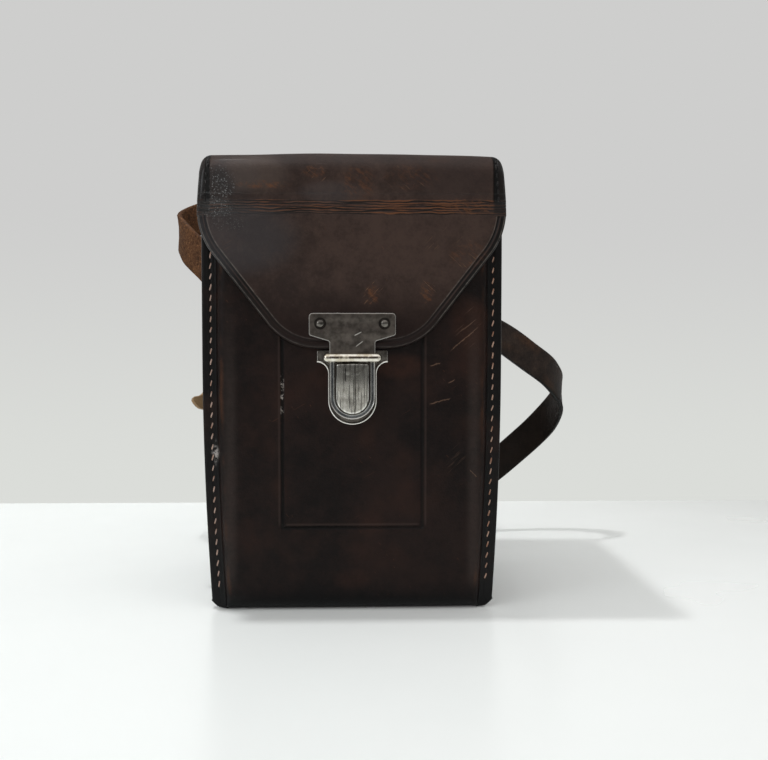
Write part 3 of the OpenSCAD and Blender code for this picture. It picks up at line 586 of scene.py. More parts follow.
def tube_faces(rings, around, first=0, turned=False):
    """Faces round a tube made of rings of points, and then its two closed ends."""
    rows = [range(first + i * around, first + (i + 1) * around) for i in range(rings)]
    faces = between([[*row, row[0]] for row in rows], [[*row, row[0]] for row in rows[1:]])
    if turned:
        return [(a, d, c, b) for a, b, c, d in faces] + [rows[0], rows[-1][::-1]]
    return faces + [rows[0][::-1], rows[-1]]


def stitch(middle, along, out, length, width, proud):
    """Points and faces of one stitch: a fat strand whose two ends go down into the leather."""
    along, out = unit(np.array(along, float)), unit(np.array(out, float))
    side = np.cross(along, out)
    points, rings, sides = [], 9, 8
    for i in range(rings):
        t = -1 + 2 * i / (rings - 1)
        girth = width / 2 * (1 - 0.55 * abs(t) ** 5)
        lift = proud * (1 - t ** 2) - 0.55 * width * t ** 6
        centre = np.array(middle) + along * t * length / 2 + out * lift
        for k in range(sides):
            a = 2 * math.pi * k / sides
            points.append(centre + side * girth * math.cos(a) + out * girth * 0.8 * math.sin(a))
    return points, tube_faces(rings, sides, turned=True)


def stitches(name, places, material, length, width, proud, seed):
    """One object of many stitches. A place is a point, a direction and the side that faces out."""
    shake = np.random.default_rng(seed)
    points, faces = [], []
    for middle, along, out in places:
        lean = np.array(along, float) + shake.normal(0, 0.05, 3)
        some, rings = stitch(middle, lean, out, length * shake.uniform(0.9, 1.08),
                             width * shake.uniform(0.88, 1.1), proud)
        faces += [tuple(i + len(points) for i in f) for f in rings]
        points += some
    return add_piece(name, points, faces, material)


STITCH_STEP, STITCH_SLANT, STITCH_DEEP = 4.05, 0.29, 0.32
SEAM_COLOURS = {1: ((224, 194, 178), (172, 128, 106)), -1: ((226, 188, 166), (188, 136, 110))}
for facing, hand in ((-1, "front"), (1, "back")):
    for side, first, last in ((-1, 9.5, 141.5), (1, 12.0, 141.5)):
        seam_name = f"{hand}_{'left' if side < 0 else 'right'}"
        seam_thread = thread("thread_" + seam_name, *SEAM_COLOURS[side * facing])
        places = []
        for z in np.arange(first, last, STITCH_STEP):
            x = side * (half_width(z) - SEAM_CHANNEL)
            draw = side * (half_width(z + 1) - half_width(z - 1)) / 2
            places.append(((x, facing * (FLANGE_Y - STITCH_DEEP), z),
                           (STITCH_SLANT * -facing + draw, 0, 1), (0, facing, 0)))
        sewn = stitches("seam_" + seam_name, places, seam_thread, 3.0, 0.50, 0.26, 40 + side + 3 * facing)
        finish_piece(sewn, "case", "body_leather")


# The lining: a red cotton velvet glued to the leather inside the front, back, sides, base and lid. Under
# the base lining lies a stiff pasteboard that keeps the bottom flat.
LINING = 0.8


def velvet(name, deep, bright):
    """Worn cotton velvet with a short pile."""
    pile = Finish(name)
    mm = pile.place()
    brushed = pile.cloud(mm, 0.06, 4.0, 0.6)
    tufts = pile.cloud(mm, 3.2, 3.0, 0.6)
    bald = pile.ease(pile.cloud(mm, 0.11, 4.0, 0.65), 0.60, 0.74)
    tone = pile.lay(paint(*deep), (pile.ease(brushed * 0.6 + tufts * 0.4, 0.36, 0.66), bright),
                    (bald * 0.6, (112, 74, 60)))
    return pile.coat({"Base Color": tone, "Roughness": 0.86 + tufts * 0.1, "Specular IOR Level": 0.2,
                      "Sheen Weight": 0.35, "Sheen Roughness": 0.4, "Normal": pile.relief(tufts, 0.25)})


red_velvet = velvet("red_velvet", (72, 16, 20), (112, 30, 34))


def lining_sheet(name, outside, body, node_name):
    """One cut of the lining. Its seen side is the outside of the sheet."""
    rows = np.array(outside)
    cloth = closed_sheet(name, rows, LINING, red_velvet, bulge=0.3)
    width = np.linalg.norm(np.diff(rows, axis=1), axis=2).sum(axis=1)
    rise = np.linalg.norm(np.diff(rows, axis=0), axis=2).sum(axis=0)
    flat = (float(width.max()) / 1000, float(rise.max()) / 1000)
    finish_piece(cloth, body, "lining", node_name)
    min(float(width.mean() * rise.mean()) / 1e6, flat[0] * flat[1])


LINING_INSET, LINING_END_Y, FLOOR_Z = 10.7, 46.2, 4.6
for facing, hand, top_z in ((-1, "front", RIM_Z - 3.2), (1, "back", HINGE_LEATHER_Z + 3.3)):
    inner_y = facing * (FRONT_Y - LEATHER - LINING)
    rows = np.array([[(facing * t * (half_width(z) - LINING_INSET), inner_y, z)
                      for t in np.linspace(-1, 1, 40)] for z in np.linspace(FOOT_R + 1.2, top_z, 60)])
    rows[..., 1] -= facing * (ripple(rows, 12.0, 0.12, 50 + facing) + 0.14)
    lining_sheet("lining_" + hand, rows[:, ::-1], "case", hand + "_lining")
for side, hand in ((-1, "left"), (1, "right")):
    rows = np.array([[(side * (half_width(z) - SIDE_SET - LEATHER - 0.05 - LINING), y, z)
                      for y in np.linspace(LINING_END_Y, -LINING_END_Y, 40) * side]
                     for z in np.linspace(FLOOR_Z + 0.5, RIM_Z - 3.2, 60)])
    rows[..., 0] -= side * (ripple(rows, 12.0, 0.10, 54 + side) + 0.12)
    lining_sheet("lining_" + hand, rows, "case", "side_lining_" + hand)
FLOOR_X = half_width(0) - SIDE_SET - LEATHER - 0.5
rows = np.array([[(x, y, FLOOR_Z) for x in np.linspace(-FLOOR_X, FLOOR_X, 40)]
                 for y in np.linspace(-LINING_END_Y, LINING_END_Y, 40)])
rows[..., 2] += ripple(rows, 12.0, 0.12, 57) + 0.05
lining_sheet("lining_base", rows, "case", "base_lining")

pasteboard = Finish("pasteboard")
board_fibre = pasteboard.cloud(pasteboard.drawn(pasteboard.place(), (0, 0, 0.1), (0.3, 2.5, 2.5)), 1.0, 4.0)
board_tone = pasteboard.mix(board_fibre, paint(104, 84, 60), paint(142, 117, 86))
pasteboard.coat({"Base Color": board_tone, "Roughness": 0.85 + board_fibre * 0.1,
                 "Normal": pasteboard.relief(board_fibre, 0.1)})
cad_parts["base_board"].data.materials.clear()
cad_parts["base_board"].data.materials.append(pasteboard.owner)


# The strap: one long band of thick bridle leather, dyed dark on the grain side and left rough and brown
# on the other. It is riveted to the right side, bulges out, goes down behind the case, lies folded once
# on the table, rises and arches over the back to the rivets on the left side, where its end stands off.
STRAP_W, STRAP_T, STRAP_X = 15.0, 2.4, 57.18
ROUTE = np.array([
    (STRAP_X, -2, 121.5, 0), (STRAP_X, 13, 117.75, 0), (STRAP_X, 28, 114, 0),
    (STRAP_X + 1.2, 38, 111.2, 0), (63, 48, 108.5, 0), (73.5, 57, 103.8, 0), (87, 65, 95, 0),
    (99.5, 73, 86, 0), (106, 84, 75.5, 0), (101.5, 95.5, 62, 0), (87.5, 102.5, 46.5, 0),
    (68, 104, 30.5, 0.05), (46, 104, 17, 0.3), (24, 104, 7, 0.75), (2, 104, 2.2, 1), (-22, 104, 1.6, 1),
    (-44, 103, 2, 1), (-58, 100.5, 5.5, 1), (-64, 96.5, 12.5, 1), (-58, 92, 19, 1), (-44, 88.5, 17, 1),
    (-26, 86.5, 9, 1), (-6, 86, 2.4, 1), (14, 86, 2, 1), (30, 86, 8, 1), (39, 86, 24, 1),
    (42, 86, 48, 1), (42, 86, 78, 1), (40, 86, 110, 1), (34, 86, 138, 1), (20, 86, 159, 1),
    (-2, 86, 172, 1), (-28, 86, 176, 0.9), (-52, 85, 171.5, 0.5), (-71.5, 80, 165.5, 0.12),
    (-83, 70, 158, 0), (-79, 58.5, 149, 0), (-67, 48.5, 136.5, 0), (-STRAP_X - 1.2, 38, 121.5, 0),
    (-STRAP_X, 28, 112.5, 0), (-STRAP_X, 15, 102.75, 0), (-STRAP_X, 0, 91.5, 0),
    (-STRAP_X - 0.6, -6, 86.6, 0), (-STRAP_X - 3, -11, 81.6, 0.15),
    (-STRAP_X - 8.5, -15.5, 78.6, 0.3)], float)
STRAP_STEPS = 7


def through(points, steps):
    """A smooth curve through the points, with so many steps between two of them."""
    found, last = [], len(points) - 1
    for i in range(last):
        a, b, c, d = points[max(i - 1, 0)], points[i], points[i + 1], points[min(i + 2, last)]
        for t in np.arange(steps) / steps:
            found.append(0.5 * (2 * b + (c - a) * t + (2 * a - 5 * b + 4 * c - d) * t ** 2
                                + (3 * b - a - 3 * c + d) * t ** 3))
    return np.array(found + [points[last]])


line = through(ROUTE, STRAP_STEPS)
centre = line[:, :3]
along = unit(np.gradient(centre, axis=0))
lean = np.stack([np.zeros(len(line)), line[:, 3], 1 - line[:, 3]], axis=1)
broad = unit(lean - (lean * along).sum(axis=1, keepdims=True) * along)
flat_out = np.cross(along, broad)
gone = np.concatenate([[0], np.cumsum(np.linalg.norm(np.diff(centre, axis=0), axis=1))])
strap_length = gone[-1]
from_tail = np.arange(len(line))[::-1] / STRAP_STEPS
from_end = np.minimum(from_tail[::-1], from_tail)
half_band = STRAP_W / 2 * np.interp(from_end, (0, 0.12, 0.5, 1.0, 1.5), (0.12, 0.3, 0.64, 0.92, 1.0))
half_band = np.minimum(half_band, STRAP_W / 2 * np.interp(
    from_tail, (0, 0.15, 0.3, 0.6, 1.0, 2.0, 3.0), (0.1, 0.26, 0.36, 0.43, 0.5, 0.8, 1.0)))
half_band += 0.8 * hump(from_tail - 7.6, 1.2)
centre[:, 2] -= np.interp(from_tail, (0, 0.3, 0.6, 1.0, 2.0, 3.0), (0.9, 2.1, 3.2, 3.6, 2.0, 0))
# round the section once: grain side left to right, edge, rough side right to left, edge
GRAIN_SIDE = (-0.93, -0.8, -0.55, -0.25, 0, 0.25, 0.55, 0.8, 0.93)
section = [(t, 0.5, 0.0, 0.0) for t in GRAIN_SIDE]
section += [(0.985, 0.36, 1.0, 0.0), (1.0, 0.0, 1.0, 0.3), (0.985, -0.36, 1.0, 0.6)]
section += [(-t, -0.5, 0.0, 1.0) for t in GRAIN_SIDE]
section += [(-0.985, -0.36, 1.0, 0.6), (-1.0, 0.0, 1.0, 0.3), (-0.985, 0.36, 1.0, 0.0)]
strap_points, strap_marks = [], {"edge": [], "wear": [], "flesh": []}
for i, (at_x, _, at_z) in enumerate(centre):
    free = min(held((gone[i] - 45) / 30), held((strap_length - gone[i] - 60) / 30))
    left_loop = held((-50 - at_x) / 8) * held((at_z - 112) / 12)
    rough_share = 0.04 if at_x > 40 else 0.28
    for place, level, cut, rough_side in section:
        cupped = 0.22 * (1 - place ** 2) * free
        wavy = 0.16 * noise.noise(Vector((gone[i] / 17, place * 0.8, 4.2)))
        rubbed = 0.25 + 0.5 * noise.noise(Vector((gone[i] / 23, place * 1.3, 9.1)))
        strap_points.append(centre[i] + broad[i] * place * (half_band[i] + wavy)
                            + flat_out[i] * (level * STRAP_T + cupped))
        strap_marks["wear"].append(max(0.0, rubbed))
        strap_marks["edge"].append(cut * 0.9 * (1 - 0.85 * left_loop))
        strap_marks["flesh"].append(max(rough_side * rough_share, left_loop * 0.9 * (1 - 0.2 * cut)))


def strap_end(hide, mm, colour, rough, height, gloss):
    """The free end on the left has lost its dye and the loop above it is bare and spotted. The lower part of
    the right-hand loop is darkened with painted shade."""
    x, y, z = hide.apart(mm)
    loop = hide.ease(x, -56.0, -62.0) * hide.ease(z, 108.0, 116.0)
    spots = hide.cloud(mm, 0.8, 5.0, 0.75)
    bare = hide.ease(x, -58.5, -61.5) * hide.ease(z, 92.0, 86.0) * hide.ease(y, 2.0, -5.0)
    # painted shade over the lower part of the right-hand loop
    lower_loop_shade = hide.ease(z, 92.0, 70.0) * hide.ease(x, 55.0, 75.0)
    colour = hide.lay(colour, (loop * 0.3, (58, 40, 29)),
                      (loop * hide.ease(spots, 0.53, 0.62) * 0.7, (38, 27, 20)),
                      (loop * hide.ease(spots, 0.43, 0.34) * 0.6, (156, 112, 74)),
                      (lower_loop_shade * 0.8, (18, 16, 14)), (bare * 0.85, (160, 132, 98)))
    return colour, rough + bare * 0.2, height, gloss


strap_leather = leather("strap_leather", (37, 30, 27), (65, 52, 45), 0.48, (104, 68, 42), strap_end)
strap = add_piece("carrying_strap", strap_points, tube_faces(len(line), len(section)), strap_leather,
                  strap_marks)
finish_piece(strap, "case", "strap_leather", "strap")


# The strap's ends: each lies on a sewn-on leather patch that spreads the pull, and two large domed rivets
# go through strap, patch and side wall to washers inside.
PATCH_T, PATCH_L, PATCH_W, PATCH_R = 1.5, 34.0, 24.0, 5.0
PATCH_CUT, PATCH_SEAM = 0.5, 2.1
black_thread = thread("black_thread", (38, 34, 33), (20, 18, 18))
ENDS = ((1, "right", 12.0, 118.0, -0.25), (-1, "left", 16.0, 103.5, 0.75))
for side, hand, middle_y, middle_z, slope in ENDS:
    tilt = math.atan(slope)

    def on_wall(length, width, height):
        """A point of the patch, laid on the side wall."""
        y = middle_y + length * math.cos(tilt) - width * math.sin(tilt)
        z = middle_z + length * math.sin(tilt) + width * math.cos(tilt)
        return (side * (NECK_X + height), y, z)

    patch_rows = []
    corner = np.linspace(PATCH_W / 2 - PATCH_R, PATCH_W / 2 - PATCH_CUT, 6)
    for width in np.concatenate([-corner[::-1], np.linspace(-6, 6, 9), corner]):
        past = max(0.0, abs(width) - (PATCH_W / 2 - PATCH_R))
        half = PATCH_L / 2 - PATCH_CUT - PATCH_R + math.sqrt(PATCH_R ** 2 - past ** 2)
        patch_rows.append([on_wall(t * half * side, width, PATCH_T) for t in np.linspace(-1, 1, 28)])
    patch = closed_sheet("end_patch_" + hand, patch_rows, PATCH_T - 0.05, body_leather,
                         {"wear": np.full((len(patch_rows), 28), 0.2)})
    finish_piece(patch, "case", "body_leather", "strap_patch_" + hand)
    row_y, row_x = PATCH_W / 2 - PATCH_SEAM, PATCH_L / 2 - PATCH_SEAM
    sewn = [(length, width, (1, 0, 0)) for length in np.arange(-12.6, 13, 3.6) for width in (-row_y, row_y)]
    sewn += [(length, width, (0, 1, 0)) for width in np.arange(-7.2, 7.3, 3.6) for length in (-row_x, row_x)]
    sewn_places = [(on_wall(length, width, PATCH_T - 0.05),
                    np.array(on_wall(*way)) - np.array(on_wall(0, 0, 0)), (side, 0, 0))
                   for length, width, way in sewn]
    patch_seam = stitches("patch_seam_" + hand, sewn_places, black_thread, 2.5, 0.7, 0.25, 60 + side)
    finish_piece(patch_seam, "case", "body_leather")


def worn_metal(name, bright, dull, rough, tarnish=(84, 70, 54), features=None):
    """Plated or plain metal with fine scratches, cloudy dulling, brown spots and a painted highlight on
    polished edges.
    """
    metal = Finish(name)
    mm = metal.place()
    haze = metal.cloud(mm, 0.30, 5.0, 0.62)
    spots = metal.ease(metal.cloud(mm, 1.1, 5.0, 0.7), 0.60, 0.72)
    one_way = metal.cloud(metal.drawn(mm, (0.2, 0.55, 0.1), (4.0, 4.0, 0.16)), 1.0, 2.0)
    other_way = metal.cloud(metal.drawn(mm, (0.1, -0.8, 0.3), (3.4, 3.4, 0.12)), 1.0, 2.0)
    scratch = metal.ease(one_way, 0.66, 0.74) + metal.ease(other_way, 0.68, 0.76)
    # painted highlight: where the edge mark is, the metal is smoother and painted near white
    edge = metal.mark("edge")
    tone = metal.lay(paint(*bright), (metal.ease(haze, 0.36, 0.66), dull), (spots * 0.55, tarnish),
                     (edge * 0.9, (240, 238, 232)))
    height = haze * 0.6 + scratch * -0.7
    dullness = rough + (haze - 0.5) * 0.20 + spots * 0.18 + scratch * 0.10 - edge * 0.12
    if features:
        tone, dullness, height = features(metal, mm, tone, dullness, height)
    return metal.coat({"Base Color": tone, "Metallic": 1.0, "Roughness": dullness,
                       "Normal": metal.relief(height, 0.02)})


def dress_node(node_name, material):
    """A CAD node that is right as it is gets its finish."""
    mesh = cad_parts[node_name].data
    mesh.materials.clear()
    mesh.materials.append(material)
    mesh.polygons.foreach_set("use_smooth", [True] * len(mesh.polygons))
    mesh.set_sharp_from_angle(angle=math.radians(35))


rivet_nickel = worn_metal("rivet_nickel", (186, 182, 172), (120, 114, 104), 0.26)
washer_brass = worn_metal("washer_brass", (190, 152, 84), (132, 100, 52), 0.34)
dress_node("strap_rivets", rivet_nickel)
for node_name in ("strap_washers", "catch_washers", "hasp_washers"):
    dress_node(node_name, washer_brass)


# The lid: one thick piece of leather pressed over the top of the block, down the front to the fold and a
# little way down the sides and back, where it is sewn to the side skirts. The fold edge has stretched out.
LID_T, LID_TOP, LID_FRONT, LID_BACK = 2.4, 173.5, -55.9, 53.0
LID_FRONT_R, LID_BACK_R, LID_RISE = 8.0, 7.0, 1.0
LID_HALF, LID_SPREAD, CORNER_SEAM_X = 56.9, 0.9, 53.7
FOLD_TOP, BACK_CUT = 157.2, math.radians(24)


def lid_width(z, y):
    """Half the lid's width: a little wider towards the fold than on top."""
    low = held((LID_TOP - 4 - np.asarray(z, float)) / 15.0) * (np.asarray(y, float) < 0)
    return LID_HALF + LID_SPREAD * low * low * (3 - 2 * low)


def round_arc(middle, level, radius, start, stop, count):
    """Points on an arc between two angles."""
    return [(middle + radius * math.cos(a), level + radius * math.sin(a))
            for a in np.linspace(start, stop, count)]


def lid_profile():
    """Points of the lid's middle line from the fold up and over to the back, with the way inwards."""
    def corner(middle, radius, start, stop, count):
        return [(middle + radius * math.cos(a), LID_TOP - radius + radius * math.sin(a),
                 -math.cos(a), -math.sin(a)) for a in np.linspace(start, stop, count)]

    front_y, back_y = LID_FRONT + LID_FRONT_R, LID_BACK - LID_BACK_R
    found = [(LID_FRONT, z, 1.0, 0.0) for z in np.linspace(FOLD_TOP, LID_TOP - LID_FRONT_R, 12)[:-1]]
    found += corner(front_y, LID_FRONT_R, math.pi, QUARTER, 16)
    found += [(y, LID_TOP, 0.0, -1.0) for y in np.linspace(front_y, back_y, 44)[1:-1]]
    return np.array(found + corner(back_y, LID_BACK_R, QUARTER, BACK_CUT, 12))


def lid_columns(profile, corner, lip, middle=60):
    """The lid's outside: each point of the profile drawn across the width, round the corner and down the
    lip."""
    rows = []
    for (y, z, in_y, in_z), radius, down in zip(profile, corner, lip):
        half = lid_width(z, y)
        flat = half - radius
        across = [(half, radius + down), (half, radius + down * 0.66), (half, radius + down * 0.33)]
        across += [(flat + radius * math.sin(a), radius - radius * math.cos(a))
                   for a in np.linspace(QUARTER, 0, 8)]
        across = [(-x, inset) for x, inset in across]
        across += [(x, 0.0) for x in np.linspace(-flat, flat, middle)[1:-1]]
        across += [(-x, inset) for x, inset in across[10::-1]]
        onto = held((z - (LID_TOP - LID_FRONT_R)) / LID_FRONT_R)
        rows.append([(x, y + in_y * inset, z + in_z * inset - LID_RISE * onto * (x / half) ** 2)
                     for x, inset in across])
    return np.array(rows)


def lid_marks(hide, mm, colour, rough, height, gloss):
    """Rubbed flecks on the lid, a crackled shiny corner with painted glints in its crackle, painted shade
    over the top, a grey-blue painted sheen and a pale painted sheen on the left, the black ends with their
    sewn slits, and on the flap painted highlights along its edge lines, a dark foot and scratches."""
    x, y, z = hide.apart(mm)
    front = hide.ease(y, -40.0, -50.0) * (1 - hide.mark("flesh"))
    ragged = hide.cloud(mm, 0.34, 5.0, 0.74)
    flecks = hide.cloud(hide.drawn(mm, (0, 0.95, 0), (0.9, 0.9, 0.22)), 1.0, 4.0, 0.7)

    def spots(*ovals, onto=None):
        """Soft ovals on the front of the lid and flap."""
        return hide.spots(x, z, ovals, front, onto)

    foot = hide.ease(z, 128.0, 104.0) * front
    top = hide.ease(z, LID_TOP - 8, LID_TOP - 2)
    # painted sheen: grey-blue patches on the left of the lid and flap, where the glossy leather catches the
    # light
    cool_sheen = spots((-44, 164, 12, 9, 0.6), (-8, 158, 14, 5, 0.5),
                 onto=spots((-42, 141, 26, 17, 1)) * (0.5 + ragged * 0.6))
    warm = spots((-33, 160.6, 12, 1.9, 0.9), (-14, 165.5, 5, 3.0, 0.9), (2, 161.5, 8, 8.0, 0.6),
                 (22, 163.5, 12, 6.0, 0.4), (44, 152.5, 13, 4.0, 0.9), (7.4, 119.5, 3.4, 5.0, 1),
                 (27.8, 120.5, 3.2, 5.0, 1), (43, 135, 9, 6, 0.5))
    warm = warm * hide.ease(ragged * 0.5 + flecks * 0.5, 0.46, 0.62)
    streaks = hide.cloud(hide.drawn(mm, (0, 0.85, 0), (1.7, 1.7, 0.10)), 1.0, 3.0)
    slants = hide.cloud(hide.drawn(mm, (0, -0.75, 0), (1.7, 1.7, 0.12)), 1.0, 3.0)
    nicks = spots((42, 134, 7, 9, 0.7), (18, 163, 12, 6, 0.8), (28, 121, 4, 6, 1))
    slant_nicks = spots((8, 120, 5, 7, 1), (-14, 165, 6, 4, 1), (36, 140, 12, 6, 0.3))
    nicks = hide.ease(streaks, 0.63, 0.70) * nicks + hide.ease(slants, 0.62, 0.69) * slant_nicks
    crackle = spots((-50.5, 160.5, 8.5, 8.5, 1), (-50.5, 152.0, 8.0, 5.0, 0.8), (-46, 146.0, 8.0, 3.5, 0.2))
    net = hide.cells(hide.drawn(mm, (0.2, 0.3, 0.1), (1.0, 1.0, 1.3)), 1.25)
    # painted glints: the crackle's raised bits are also painted pale
    glinting_flakes = hide.ease(net, 0.46, 0.14) * hide.ease(hide.cloud(mm, 0.9, 4.0, 0.7), 0.42, 0.54)
    ends = hide.ease(abs(x), 52.2, 53.6) * front * hide.ease(z, 149.0, 151.0)
    slit = hide.ease(abs(abs(x) - CORNER_SEAM_X), 1.1, 0.4) * front * hide.ease(z, 153.5, 155.0)
    # painted highlight along the flap's edge lines, which are also made shinier
    line = hide.mark("burnish_and_highlight") ** 2.5 * hide.ease(ragged, 0.30, 0.62)
    line = line * (0.35 + 0.65 * hide.ease(z, 102.0, 120.0))
    # painted shade darkens the lid's top, and the pale spot at the upper left of the lid is painted sheen
    colour = hide.lay(colour, (foot * 0.9, (29, 18, 15)), (spots((38, 163, 20, 10, 0.4)), (40, 33, 33)),
                      (top * 0.45, (34, 26, 24)), (cool_sheen * 0.55, (68, 66, 68)),
                      (spots((-36, 165, 15, 9, 1)) * (0.3 + ragged * 0.5), (84, 72, 66)),
                      (warm * 0.75, (102, 64, 40)), (nicks * 0.6, (150, 110, 80)),
                      (crackle * 0.6, (28, 28, 29)), (crackle * glinting_flakes * 0.6, (172, 172, 171)),
                      (ends * 0.85, (11, 10, 10)), (slit * 0.9, (3, 3, 3)), (line * 0.7, (124, 116, 109)))
    height = height + crackle * glinting_flakes * 3.0 - nicks * 0.8 - slit * 6.0
    return (colour, rough - crackle * 0.10 + nicks * 0.1 + top * 0.3 - line * 0.1, height,
            (gloss + ends * 0.15 + cool_sheen * 0.15) * (1 - top) + crackle * 0.5)


lid_leather = leather("lid_leather", (45, 35, 32), (68, 53, 47), 0.42, (110, 68, 42), lid_marks)
profile = lid_profile()
topness = held((profile[:, 1] - (LID_TOP - 9)) / 7.0)
lid_topness = np.where(profile[:, 0] > 0, 1.0, topness)
shorter = held((profile[:, 0] - 36) / 9)
lid_rows = lid_columns(profile, 2.5 + 1.5 * lid_topness - 0.6 * shorter,
                       0.3 + 2.9 * lid_topness - 1.2 * shorter)
lid_rows[..., 2] += ripple(lid_rows, 24.0, 0.22, 71) * topness[:, None] - 0.1 * topness[:, None]
above_fold = held((profile[:, 1] - FOLD_TOP) / 3)[:, None]
in_front = (profile[:, 0] < 0)[:, None]
lid_rows[..., 1] += ripple(lid_rows, 18.0, 0.16, 72) * (1 - topness)[:, None] * in_front * above_fold
front_edge = hump(profile[:, 1] - (LID_TOP - 3), 2.5)[:, None] * in_front
lid_rub = held(front_edge * (0.1 + ripple(lid_rows, 10.0, 0.6, 73)))
side_rub = hump(56.0 - np.abs(lid_rows[..., 0]), 1.6) * topness[:, None] * 0.2
lid = closed_sheet("lid", lid_rows, LID_T, lid_leather, {"wear": np.maximum(lid_rub, side_rub)},
                   joined=("foot", "top"))
finish_piece(lid, "lid", "lid_leather", "lid_top")

SKIRT_FOOT, SKIRT_TOP, SKIRT_FRONT, SKIRT_BACK, SKIRT_R = 153.3, 168.4, -52.9, 49.2, 5.0
SKIRT_X, LIP_SEAM_X, LIP_SEAM_DOWN = 56.75, 56.95, 7.4
for side, hand in ((-1, "left"), (1, "right")):
    skirt_rows = []
    for z in np.linspace(SKIRT_FOOT, SKIRT_TOP, 16):
        cut = SKIRT_R - math.sqrt(SKIRT_R ** 2 - max(0.0, SKIRT_FOOT + SKIRT_R - z) ** 2)
        run = np.linspace(SKIRT_FRONT, SKIRT_BACK - cut, 44)
        bow = 0.25 * ((z - SKIRT_TOP) / 14) ** 2 - 0.5 * held((z - 165.5) / 1.2)
        skirt_rows.append([(side * (SKIRT_X + bow), y, z) for y in (run if side > 0 else run[::-1])])
    skirt_rows = np.array(skirt_rows)
    skirt_rows[..., 0] += ripple(skirt_rows, 16.0, 0.15, 74 + side)
    skirt = closed_sheet("skirt_" + hand, skirt_rows, LID_T - 0.3, lid_leather,
                         {"wear": held(ripple(skirt_rows, 9.0, 0.8, 76)) * 0.5})
    finish_piece(skirt, "lid", "lid_leather", "lid_skirt_" + hand)
    lip_places = [((side * LIP_SEAM_X, y, LID_TOP - LIP_SEAM_DOWN), (0, 1, 0.05), (side, 0, 0))
                  for y in np.arange(-44, 44.5, 4.2)]
    lip_seam = stitches("lid_side_seam_" + hand, lip_places, black_thread, 3.0, 0.55, 0.15, 80 + side)
    corner_places = [((side * (lid_width(z, -1) - 3.1), LID_FRONT, z), (0.08, 0, 1), (0, -1, 0))
                     for z in np.arange(155.4, 165.7, 2.9)]
    for turn in (0.28, 0.64):
        out_y, out_z = -math.cos(turn), math.sin(turn)
        up_z = LID_TOP - LID_FRONT_R * (1 - out_z) - 1.3 * turn
        corner_places.append(((side * CORNER_SEAM_X, LID_FRONT + LID_FRONT_R * (1 + out_y), up_z),
                              (0.06, out_z, -out_y), (0, out_y, out_z)))
    corner_seam = stitches("lid_corner_seam_" + hand, corner_places, black_thread, 2.3, 0.75, 0.16, 84 + side)
    finish_piece(lip_seam, "lid", "lid_leather")
    finish_piece(corner_seam, "lid", "lid_leather")

LID_LINING_X, LID_LINING_Y = 51.2, 40.6
rows = np.array([[(x, y, LID_TOP - LID_T - LINING - LID_RISE * (x / 53.5) ** 2)
                  for x in np.linspace(-LID_LINING_X, LID_LINING_X, 44)]
                 for y in np.linspace(LID_LINING_Y, -LID_LINING_Y, 36)])
rows[..., 2] -= ripple(rows, 12.0, 0.12, 58) + 0.12
lining_sheet("lining_lid", rows, "lid", "lid_lining")

hinge_path = round_arc(LID_BACK - LID_BACK_R, LID_TOP - LID_BACK_R, LID_BACK_R, BACK_CUT - 0.02, 0, 7)
hinge_path += [(LID_BACK, z) for z in np.linspace(LID_TOP - 7.4, HINGE_LEATHER_Z + 0.1, 22)]
HINGE_CREASE_Z, HINGE_HALF, HINGE_TAPER = 164.0, 56.0, 2.3
hinge_rows = []
for y, z in hinge_path[::-1]:
    low = held((166.5 - z) / 4.0)
    half = HINGE_HALF - HINGE_TAPER * low * low * (3 - 2 * low)
    crease = 0.22 * math.sin((z - 159.5) * 2.9) * hump(z - HINGE_CREASE_Z, 2.6)
    hinge_rows.append([(x, y - 0.25 - crease, z) for x in np.linspace(half, -half, 60)])
hinge_rows = np.array(hinge_rows)
hinge_rows[..., 1] += ripple(hinge_rows, 3.0, 0.10, 90) + ripple(hinge_rows, 26.0, 0.12, 21) * 0.5
hinge_rub = hump(hinge_rows[..., 2] - HINGE_CREASE_Z, 3.0) * 0.8
hinge = closed_sheet("hinge_leather", hinge_rows, LEATHER, lid_leather, {"wear": hinge_rub}, edge_reach=0.4)
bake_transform(hinge)


# The fold and the flap: the lid's leather runs on over the fold, where years of opening have wrinkled it and
# rubbed the ridges brown. Below it the flap is cut to a rounded tab, with a line tooled inside its dyed edge.
FOLD_FOOT = 149.2
WRINKLES, WRINKLE_W, BROW_W, BROW_UP = (149.9, 150.7, 151.6, 152.6, 153.6, 154.4), 0.26, 0.28, 0.5
DIP_DEEP, BROW_PROUD = 0.18, 0.24
fold_levels = np.linspace(FOLD_FOOT, FOLD_TOP, 54)
fold_profile = np.array([(LID_FRONT, z, 1.0, 0.0) for z in fold_levels])
opening = held((fold_levels - FOLD_FOOT) / (FOLD_TOP - FOLD_FOOT))
fold_rows = lid_columns(fold_profile, 0.9 + 1.6 * opening, 0.02 + 0.28 * opening, middle=190)
x, z = fold_rows[..., 0], fold_rows[..., 2]
dip, brow = np.zeros_like(x), np.zeros_like(x)
for k, level in enumerate(WRINKLES):
    wander = np.array([0.55 * noise.noise(Vector((v / 12, k * 3.1, 0.5)))
                       + 0.32 * noise.noise(Vector((v / 3.4, k * 5.3, 2.5))) for v in x[0]])
    force = [held(0.5 + 0.9 * abs(noise.noise(Vector((v / 17, k * 1.9, 7.5))))) for v in x[0]]
    far = z - (level + wander)[None, :]
    dip = np.maximum(dip, hump(far, WRINKLE_W) * np.array(force)[None, :])
    brow = np.maximum(brow, hump(far - BROW_UP, BROW_W) * np.array(force)[None, :])
band = held((z - 149.25) / 0.6) * held((155.5 - z) / 0.8)
fold_rows[..., 1] += band * (DIP_DEEP * dip - BROW_PROUD * brow)
rub_share = 0.75 + 0.25 * held((x + 30) / 80)
